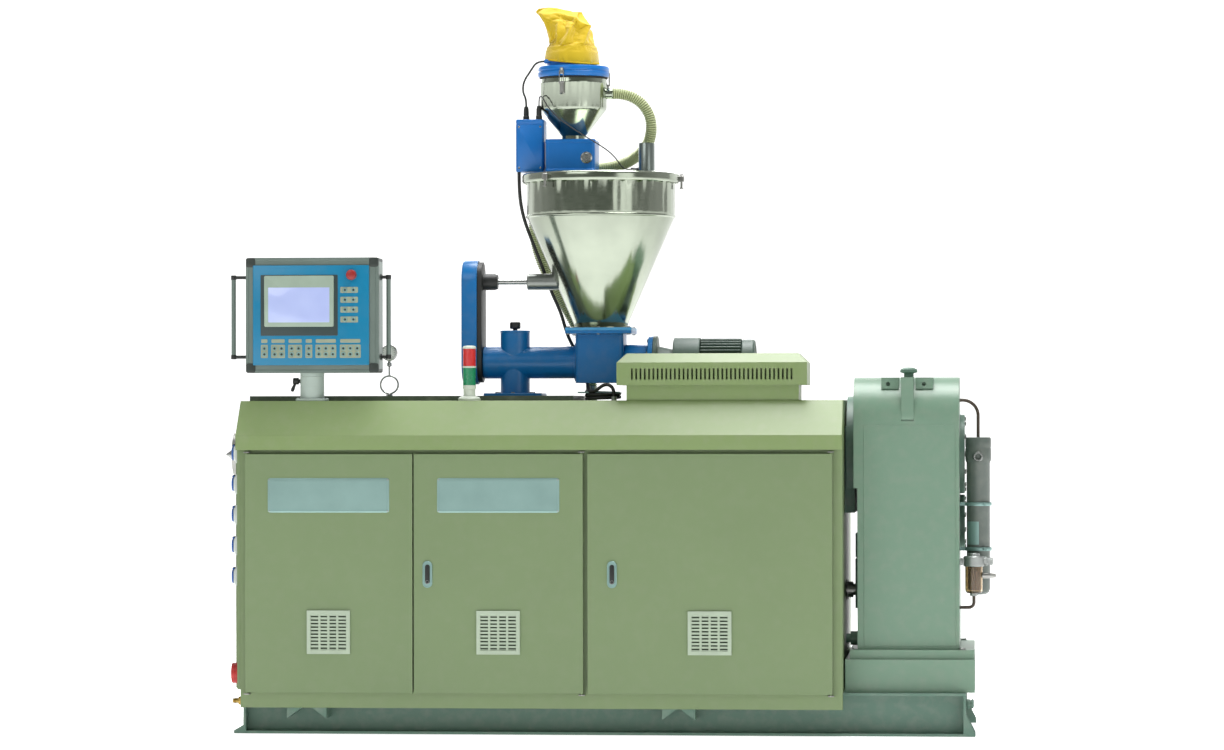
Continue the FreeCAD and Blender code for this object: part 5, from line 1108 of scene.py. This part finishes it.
# ---- Operator panel -----------------------------------------------------------------------
# Swivelling control box of aluminium profile with plastic corner caps, a blue front plate, a
# dark-framed screen with nothing on it, stop button, keys, and two side handles.
panel_alloy = bare_steel("panel_alloy", (126, 141, 134), roughness=0.34, streak=(50.0, 50.0, 800.0))
panel_alloy.node_tree.nodes["Principled BSDF"].inputs["Metallic"].default_value = 0.45
pale_enamel = enamel("pale_enamel", (176, 190, 182), roughness=0.36, peel=0.25, wear=0.4, soil=0.1)
dress(pale_enamel, "panel_swivel")
post_low, post_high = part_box("panel_swivel")
post_x = (post_low[0] + post_high[0]) / 2
post = joined(stacked([(0.120, 0.120, 0.010, 1.338), (0.120, 0.120, 0.010, 1.346),
                       (0.116, 0.116, 0.009, 1.348)], (post_x, -0.350, 0), up=(0, 1, 0)),
              turned([(0, 1.348), (0.0485, 1.348), (0.0485, 1.398), (0.0478, 1.399), (0.0478, 1.401),
                      (0.0485, 1.402), (0.0485, 1.436), (0.0475, 1.437), (0.030, 1.437), (0.030, 1.360),
                      (0, 1.360)], (post_x, -0.350, 0)))
finished("panel_post", post, pale_enamel, "machine", "zinc", "panel_pedestal", bevel=0.0006)
lever_hub = turned([(0, -0.078), (0.012, -0.078), (0.0135, -0.074), (0.0135, -0.056), (0.008, -0.054),
                    (0.008, -0.046), (0, -0.046)], (post_x, -0.350, 1.418), (1, 0, 0), 28)
lever_arm = turned([(0, 0), (0.0062, 0.001), (0.0055, 0.018), (0.0075, 0.036), (0.0060, 0.044), (0, 0.046)],
                   (post_x - 0.066, -0.350, 1.418), (-0.42, 0, -1), 20)
finished("post_lever", joined(lever_hub, lever_arm), black_plastic, "machine", "black_plastic")
post_bolts = bolt_heads((post_x, -0.350, 1.348), (0, 0, 1), 0.0, 1, 0.006)
finished("post_bolts", repeated(post_bolts, [(0.048 * sx, 0.048 * sy, 0) for sx in (-1, 1) for sy in (-1,
        1)]), zinc_bolts, "machine", "steel")
face_low, face_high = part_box("panel_face")
housing_low, housing_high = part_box("panel_housing")
panel_x = (housing_low[0] + housing_high[0]) / 2 + 0.014
panel_z = (housing_low[2] + housing_high[2]) / 2
housing = stacked([(0.541, 0.465, 0.018, -0.120), (0.541, 0.465, 0.018, -0.018),
                   (0.533, 0.457, 0.016, -0.014), (0.533, 0.457, 0.016, -0.011),
                   (0.541, 0.465, 0.018, -0.008), (0.541, 0.465, 0.018, 0.0), (0.520, 0.444, 0.012, 0.0),
                   (0.516, 0.440, 0.010, -0.003)], (panel_x, housing_low[1], panel_z))
finished("panel_frame", housing, panel_alloy, "operator_panel", "zinc", "panel_housing", bevel=0.0008,
         segments=1)
corner = stacked([(0.038, 0.038, 0.008, -0.1205), (0.038, 0.038, 0.008, 0.0006),
                  (0.032, 0.032, 0.006, 0.0022)], (panel_x, housing_low[1], panel_z))
corners = repeated(corner, [(0.2512 * sx, 0, 0.2132 * sz) for sx in (-1, 1) for sz in (-1, 1)])
corner_black = moulded("corner_black", (44, 52, 48), roughness=0.45, grain=900.0)
finished("panel_corners", corners, corner_black, "operator_panel", "black_plastic", bevel=0.0006)
panel_enamel = enamel("panel_enamel", (10, 120, 160), roughness=0.30, peel=0.2, wear=0.2, soil=0.05)
front_y = face_low[1] + 0.026
front = stacked([(0.473, 0.403, 0.004, -0.003), (0.473, 0.403, 0.004, 0.0), (0.470, 0.400, 0.003, 0.0008)],
                (face_low[0] + 0.2365, front_y, (face_low[2] + face_high[2]) / 2))
finished("panel_front_plate", front, panel_enamel, "operator_panel", "panel_blue", "panel_face")
recess = stacked([(0.314, 0.245, 0.003, 0.0), (0.314, 0.245, 0.003, 0.0022), (0.311, 0.242, 0.003, 0.0030)],
                 (-1.226, front_y, 1.7235))
finished("screen_mount", recess, moulded("mount_grey", (46, 62, 62), roughness=0.40, grain=1200.0),
         "operator_panel", "black_plastic")
screen_at = (-1.2265, front_y, 1.740)
bezel = stacked([(0.283, 0.206, 0.006, 0.0028), (0.283, 0.206, 0.006, 0.0070), (0.278, 0.201, 0.005, 0.0085)],
                screen_at)
finished("screen_bezel", bezel, moulded("bezel_grey", (150, 168, 152), roughness=0.42, grain=1200.0),
         "operator_panel", "zinc", bevel=0.0004)
glow, glow_nodes, glow_links, glow_shader = empty_material("screen_glass")
glow_place = glow_nodes.new("ShaderNodeTexCoord")
glow_noise = glow_nodes.new("ShaderNodeTexNoise")
glow_noise.inputs["Scale"].default_value = 6.0
glow_links.new(glow_place.outputs["Object"], glow_noise.inputs["Vector"])
glow_tone = glow_nodes.new("ShaderNodeMix")
glow_tone.data_type = "RGBA"
glow_tone.inputs["A"].default_value = mixed(160, 172, 226)
glow_tone.inputs["B"].default_value = mixed(196, 208, 246)
glow_links.new(glow_noise.outputs["Fac"], glow_tone.inputs["Factor"])
glow_links.new(glow_tone.outputs["Result"], glow_shader.inputs["Base Color"])
glow_shader.inputs["Roughness"].default_value = 0.16
glow_shader.inputs["Coat Weight"].default_value = 0.6
pane = stacked([(0.2495, 0.1405, 0.002, 0.0080), (0.2495, 0.1405, 0.002, 0.0088),
                (0.248, 0.139, 0.002, 0.0092)], (screen_at[0], front_y, 1.725))
finished("screen_pane", pane, glow, "operator_panel", "panel_blue")
stop_at = (-1.013, front_y, 1.8455)
stop_collar = turned([(0, 0), (0.021, 0), (0.021, 0.003), (0.019, 0.0045), (0.013, 0.0045), (0.013, 0.010),
                      (0, 0.010)], stop_at, (0, -1, 0), 40)
finished("stop_collar", stop_collar, moulded("stop_rim", (120, 60, 58), roughness=0.4, grain=900.0),
         "operator_panel", "signal_plastic")
stop_head = turned([(0, 0.0085), (0.012, 0.0085), (0.0165, 0.0115), (0.020, 0.014), (0.0205, 0.0180),
                    (0.0185, 0.0225), (0.0120, 0.0250), (0, 0.0258)], stop_at, (0, -1, 0), 48)
signal_red = moulded("signal_red", (196, 34, 34), roughness=0.28, grain=1400.0)
finished("stop_head", stop_head, moulded("stop_red", (150, 40, 38), roughness=0.32, grain=1400.0),
         "operator_panel", "signal_plastic")
key_plastic = moulded("key_plastic", (150, 158, 136), roughness=0.45, grain=900.0)
key_ring = turned([(0.0048, 0.0008), (0.0098, 0.0008), (0.0098, 0.0030), (0.0086, 0.0042), (0.0062, 0.0042),
                   (0.0048, 0.0030)], (0, front_y, 0), (0, -1, 0), 28, closed=True)
key_dot = turned([(0, 0.0008), (0.0050, 0.0008), (0.0050, 0.0024), (0.0036, 0.0032), (0, 0.0034)],
                 (0, front_y, 0), (0, -1, 0), 20)
key_places = [(x, 0, 1.785 - 0.0397 * row) for row in range(4) for x in (-1.0395, -1.0055)]
groups = ((-1.3681, 1), (-1.3124, 2), (-1.2426, 2), (-1.1869, 1), (-1.1176, 3), (-1.0183, 3))
switch_places = [(centre + 0.0284 * (step - (count - 1) / 2), 0, z) for centre, count in groups
                 for step in range(count) for z in (1.5495, 1.5260)]
finished("key_rings", repeated(key_ring, key_places + switch_places), sheet_alloy, "operator_panel", "zinc")
finished("key_dots", repeated(key_dot, key_places + switch_places), corner_black, "operator_panel",
         "black_plastic")


def backing(width, height, x, z):
    """Thin rounded plate under a group of keys."""
    return stacked([(width, height, 0.004, 0.0006), (width, height, 0.004, 0.0016),
                    (width - 0.001, height - 0.001, 0.0036, 0.0020)], (x, front_y, z))


backings = [backing(0.072, 0.024, -1.0225, 1.785 - 0.0397 * row) for row in range(4)]
backings += [backing(0.0284 * count, 0.054, centre, 1.538) for centre, count in groups]
backings += [backing(0.0284 * count - 0.003, 0.015, centre, 1.5796) for centre, count in groups]
finished("key_backings", joined(*backings), key_plastic, "operator_panel", "zinc")


def bent_tube(path, radius, normal, count=20):
    """Round tube along a planar path: at each point the ring path + radius·(cos a·n + sin a·m),
    n the plane's normal and m square to both n and the path's direction."""
    path = np.asarray(path, float)
    normal = np.array(normal, float)
    across = np.cross(np.gradient(path, axis=0), normal)
    across /= np.linalg.norm(across, axis=1, keepdims=True)
    a = np.linspace(0, 2 * math.pi, count, endpoint=False)
    return lofted(path[:, None] + radius * (np.cos(a)[None, :, None] * normal
                                            + np.sin(a)[None, :, None] * across[:, None]))


handle_parts, handle_caps = [], []
for side, wall in ((-1, panel_x - 0.2705), (1, panel_x + 0.2705)):
    bar_x = housing_low[0] + 0.0095 if side < 0 else housing_high[0] - 0.0095
    bar_x = wall + side * min(0.060, abs(bar_x - wall))
    handle_parts.append(turned([(0, 1.512), (0.0092, 1.512), (0.0092, 1.842), (0, 1.842)],
                               (bar_x, -0.350, 0), count=32))
    for z in (1.516, 1.838):
        handle_caps.append(turned([(0, -0.0090), (0.0098, -0.0090), (0.0108, -0.0075), (0.0108, 0.0075),
                                   (0.0098, 0.0090), (0, 0.0090)], (bar_x, -0.350, z), count=32))
        handle_caps.append(turned([(0, 0), (0.0125, 0), (0.0125, 0.004), (0.0068, 0.007),
                                   (0.0068, abs(bar_x - wall)), (0, abs(bar_x - wall))], (wall, -0.350, z),
                                  (side, 0, 0), 28))
finished("handle_bars", joined(*handle_parts), panel_alloy, "operator_panel", "zinc")
finished("handle_caps", joined(*handle_caps), black_plastic, "operator_panel", "black_plastic")

# ---- Gauge, hood and tower ----------------------------------------------------------------
# A vacuum gauge stands on a looped siphon pipe, and a lamp tower with a green and a red lens
# on a black foot; both are screwed to the cover.
gauge_at = (-0.901, -0.120, 1.535)
gauge_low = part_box("vacuum_gauge")[0]
gauge_case = turned([(0, gauge_low[1] + 0.026), (0.031, gauge_low[1] + 0.026), (0.0335, gauge_low[1] + 0.024),
                     (0.0335, gauge_low[1] + 0.004), (0.0325, gauge_low[1] + 0.001), (0.0295, gauge_low[1]),
                     (0.0288, gauge_low[1] + 0.004), (0, gauge_low[1] + 0.004)],
                    (gauge_at[0], 0, gauge_at[2]), (0, 1, 0), 48)
loop_turn = np.linspace(math.pi / 2, 2.5 * math.pi, 73)
loop = np.column_stack([gauge_at[0] - 0.036 * np.cos(loop_turn), gauge_at[1] + np.linspace(0.004, -0.004, 73),
                        1.404 + 0.036 * np.sin(loop_turn)])
stem = turned([(0, 1.440), (0.0036, 1.440), (0.0036, 1.478), (0.010, 1.480), (0.010, 1.494), (0.006, 1.496),
               (0.006, 1.505), (0, 1.505)], (gauge_at[0], gauge_at[1], 0), count=20)
foot_of_gauge = turned([(0, 1.358), (0.013, 1.358), (0.013, 1.366), (0.006, 1.3685), (0.0036, 1.370),
                        (0, 1.370)], (gauge_at[0], gauge_at[1], 0), count=6)
finished("gauge_case", joined(gauge_case, bent_tube(loop, 0.0036, (0, 1, 0)), stem, foot_of_gauge),
         polished_steel, "machine", "steel", "vacuum_gauge", smooth=40)
dial = turned([(0, gauge_low[1] + 0.0036), (0.0286, gauge_low[1] + 0.0036), (0.0286, gauge_low[1] + 0.0030),
               (0, gauge_low[1] + 0.0030)], (gauge_at[0], 0, gauge_at[2]), (0, 1, 0), 48)
finished("gauge_dial", dial, moulded("dial_white", (226, 228, 224), roughness=0.5, grain=900.0), "machine",
         "zinc")
tick_turn = np.radians(np.linspace(-135, 135, 13))
spoke = np.column_stack([np.sin(tick_turn), 0 * tick_turn, np.cos(tick_turn)])
tick = bar((-0.0006, gauge_low[1] + 0.0024, -0.0006), (0.0006, gauge_low[1] + 0.0030, 0.0006))
tick_marks = repeated(tick, np.concatenate([np.array(gauge_at) * [1, 0, 1] + reach * spoke
                                            for reach in (0.0215, 0.0225, 0.0235, 0.0245)]))
needle = lofted([np.array(gauge_at) * [1, 0, 1] + [(-0.0012, y, -0.005), (0.0012, y, -0.005),
        (-0.0130, y, 0.0150)] for y in (gauge_low[1] + 0.0018, gauge_low[1] + 0.0026)])
finished("gauge_marks", joined(tick_marks, needle), black_plastic, "machine", "black_plastic")
tower_low, tower_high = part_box("signal_tower")
tower_at = ((tower_low[0] + tower_high[0]) / 2, (tower_low[1] + tower_high[1]) / 2, 0)
tower_frame = joined(turned([(0, 1.338), (0.045, 1.338), (0.045, 1.346), (0.040, 1.352), (0.024, 1.358),
                             (0.024, 1.384), (0.027, 1.388), (0.027, 1.400), (0, 1.400)], tower_at),
                     turned([(0, 1.470), (0.027, 1.470), (0.0278, 1.4735), (0.027, 1.477), (0, 1.477)],
                            tower_at), turned([(0, 1.547), (0.027, 1.547), (0.027, 1.553), (0.023, 1.558),
        (0.012, 1.560), (0, 1.560)], tower_at))
tower_grey = moulded("tower_grey", (196, 204, 190), roughness=0.45, grain=900.0)
finished("tower_frame", tower_frame, tower_grey, "machine", "zinc", "signal_tower")
signal_green = moulded("signal_green", (10, 128, 84), roughness=0.25, grain=1400.0)
lens_rise = np.linspace(0, 1, 29)
lens = np.column_stack([0.0262 - 0.0008 * (np.arange(29) % 2), 1.400 + 0.070 * lens_rise])
finished("tower_lens_green", turned(lens, tower_at), signal_green, "machine", "signal_plastic")
finished("tower_lens_red", turned(lens + [0, 0.077], tower_at), signal_red, "machine", "signal_plastic")
dress(zinc_sheet, "cover_fittings")

# ---- Cords --------------------------------------------------------------------------------
# Ribbed olive suction hose from the loader to the cover's spigot; the loader's black supply
# cable, coiled on the cover before its gland; and the loader's motor and level sensor leads.


def smooth_route(name, points, radius):
    """A route's curve: one open NURBS spline of order 3 that starts and ends at its ends."""
    curve = bpy.data.curves.new(name, "CURVE")
    curve.dimensions = "3D"
    curve.resolution_u = 8
    curve.bevel_depth = radius
    curve.bevel_resolution = 5 if radius else 0
    curve.use_fill_caps = radius > 0
    spline = curve.splines.new("NURBS")
    spline.points.add(len(points) - 1)
    spline.points.foreach_set("co", np.column_stack([points, np.ones(len(points))]).ravel())
    spline.order_u = 3
    spline.use_endpoint_u = True
    route = bpy.data.objects.new(name, curve)
    bpy.context.scene.collection.objects.link(route)
    return route


hose_points = np.array([
    (0.010, 0, 2.597), (0.058, 0, 2.597), (0.122, 0.002, 2.566), (0.160, 0.008, 2.512), (0.168, 0.022, 2.452),
    (0.153, 0.048, 2.396), (0.110, 0.088, 2.350), (0.040, 0.132, 2.312), (-0.055, 0.178, 2.297),
    (-0.165, 0.232, 2.296), (-0.258, 0.290, 2.294), (-0.318, 0.320, 2.230), (-0.345, 0.305, 2.135),
    (-0.345, 0.262, 2.022), (-0.306, 0.236, 1.895), (-0.220, 0.224, 1.748), (-0.140, 0.213, 1.600),
    (-0.100, 0.200, 1.500), (-0.100, 0.200, 1.400)])
hose_line = smooth_route("hose_line", hose_points, 0.0)
line_mesh = bpy.data.meshes.new_from_object(hose_line)
traced = np.zeros(len(line_mesh.vertices) * 3)
line_mesh.vertices.foreach_get("co", traced)
traced = traced.reshape(-1, 3)
bpy.data.objects.remove(hose_line)
run = np.concatenate([[0], np.cumsum(np.linalg.norm(np.diff(traced, axis=0), axis=1))])
rib_pitch = 0.0088
per_rib = 8
stops = np.linspace(0, run[-1], int(run[-1] / rib_pitch) * per_rib + 1)
centre_line = np.stack([np.interp(stops, run, axis) for axis in traced.T], -1)
smoothing = np.hanning(33) / np.hanning(33).sum()
centre_line = np.stack([np.convolve(np.pad(axis, 16, mode="reflect", reflect_type="odd"), smoothing, "valid")
                        for axis in centre_line.T], -1)
heading = np.gradient(centre_line, axis=0)
heading /= np.linalg.norm(heading, axis=1, keepdims=True)
side_way = np.cross(heading, (0, 1, 0))
side_way /= np.linalg.norm(side_way, axis=1, keepdims=True)
up_way = np.cross(heading, side_way)
hose_turn = np.linspace(0, 2 * math.pi, 28, endpoint=False)
rib_wave = np.clip(1.2 * np.cos(2 * math.pi * stops[:, None] / rib_pitch + hose_turn[None]), -1, 1)
hose_radius = 0.0219 + 0.0021 * rib_wave
hose_skin = (centre_line[:, None] + hose_radius[..., None] * (np.cos(hose_turn)[None, :, None] * side_way[:,
        None] + np.sin(hose_turn)[None, :, None] * up_way[:, None]))
hose_plastic = moulded("hose_plastic", (150, 160, 104), roughness=0.34, grain=500.0)
hose = finished("suction_hose_ribbed", lofted(hose_skin), hose_plastic, "machine", "hose", "suction_hose",
                smooth=180)
# Painted light and shade on the hose: the rib attribute makes the crests lighter as a painted highlight and
# the grooves between them darker as painted shade.
ribs = hose.data.attributes.new("rib", "FLOAT", "POINT")
ribs.data.foreach_set("value", (rib_wave.ravel() * 0.5 + 0.5).astype(np.float32))
rib_light_read = hose_plastic.node_tree.nodes.new("ShaderNodeAttribute")
rib_light_read.attribute_name = "rib"
rib_painted_light = hose_plastic.node_tree.nodes.new("ShaderNodeMix")
rib_painted_light.data_type = "RGBA"
rib_painted_light.inputs["A"].default_value = mixed(118, 128, 84)
rib_painted_light.inputs["B"].default_value = mixed(184, 192, 146)
hose_plastic.node_tree.links.new(rib_light_read.outputs["Fac"], rib_painted_light.inputs["Factor"])
hose_plastic.node_tree.links.new(rib_painted_light.outputs["Result"],
                                 hose_plastic.node_tree.nodes["Principled BSDF"].inputs["Base Color"])


def electric_lead(name, points, diameter, length, *nodes):
    """A black sheathed lead on its route's spline, from the gland it leaves to the one it enters."""
    lead = smooth_route(name, points, diameter / 2)
    lead.data.materials.append(lead_rubber)
    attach(lead, "machine")
    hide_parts(*nodes)


lead_rubber = moulded("lead_rubber", (34, 34, 33), roughness=0.55, grain=1500.0)
supply_run = np.array([
    (-0.374, -0.045, 2.276), (-0.374, -0.045, 2.214), (-0.369, -0.025, 2.138), (-0.355, 0.005, 2.070),
    (-0.325, 0.035, 1.985), (-0.286, 0.062, 1.880), (-0.255, 0.072, 1.790), (-0.217, 0.088, 1.706),
    (-0.198, 0.104, 1.634), (-0.184, 0.118, 1.592), (-0.155, 0.130, 1.536), (-0.125, 0.140, 1.470),
    (-0.108, 0.130, 1.400), (-0.098, 0.100, 1.358), (-0.094, 0.050, 1.3455), (-0.090, -0.020, 1.345),
    (-0.088, -0.085, 1.345)])
coil_turn = np.radians(np.linspace(180, 968, 36))
coil = np.column_stack([-0.020 + 0.069 * np.cos(coil_turn), -0.150 + 0.069 * np.sin(coil_turn),
                        1.345 + 0.014 * (coil_turn - math.pi) / (2 * math.pi)])
into_gland = np.array([(-0.030, -0.224, 1.388), (-0.010, -0.230, 1.402), (0.014, -0.232, 1.402),
                       (0.032, -0.232, 1.382), (0.032, -0.232, 1.354)])
electric_lead("loader_supply_cable", np.concatenate([supply_run, coil, into_gland]), 0.014, 2.28,
              "loader_cable", "loader_cable_coil", "loader_cable_tail")
electric_lead("loader_motor_lead", np.array([
    (-0.349, 0, 2.548), (-0.349, 0, 2.578), (-0.362, -0.014, 2.606), (-0.356, -0.036, 2.648),
    (-0.325, -0.050, 2.690), (-0.300, -0.055, 2.728), (-0.268, -0.055, 2.728)]), 0.008, 0.239, "motor_cable")
electric_lead("level_sensor_lead", np.array([
    (-0.292, -0.040, 2.548), (-0.292, -0.040, 2.570), (-0.286, -0.062, 2.586), (-0.272, -0.094, 2.580),
    (-0.250, -0.126, 2.540), (-0.205, -0.148, 2.492), (-0.148, -0.156, 2.450), (-0.095, -0.160, 2.416),
    (-0.045, -0.163, 2.386), (0.004, -0.166, 2.354), (0.038, -0.169, 2.320), (0.058, -0.171, 2.289),
    (0.074, -0.172, 2.276), (0.096, -0.172, 2.276)]), 0.005, 0.583, "sensor_cable")
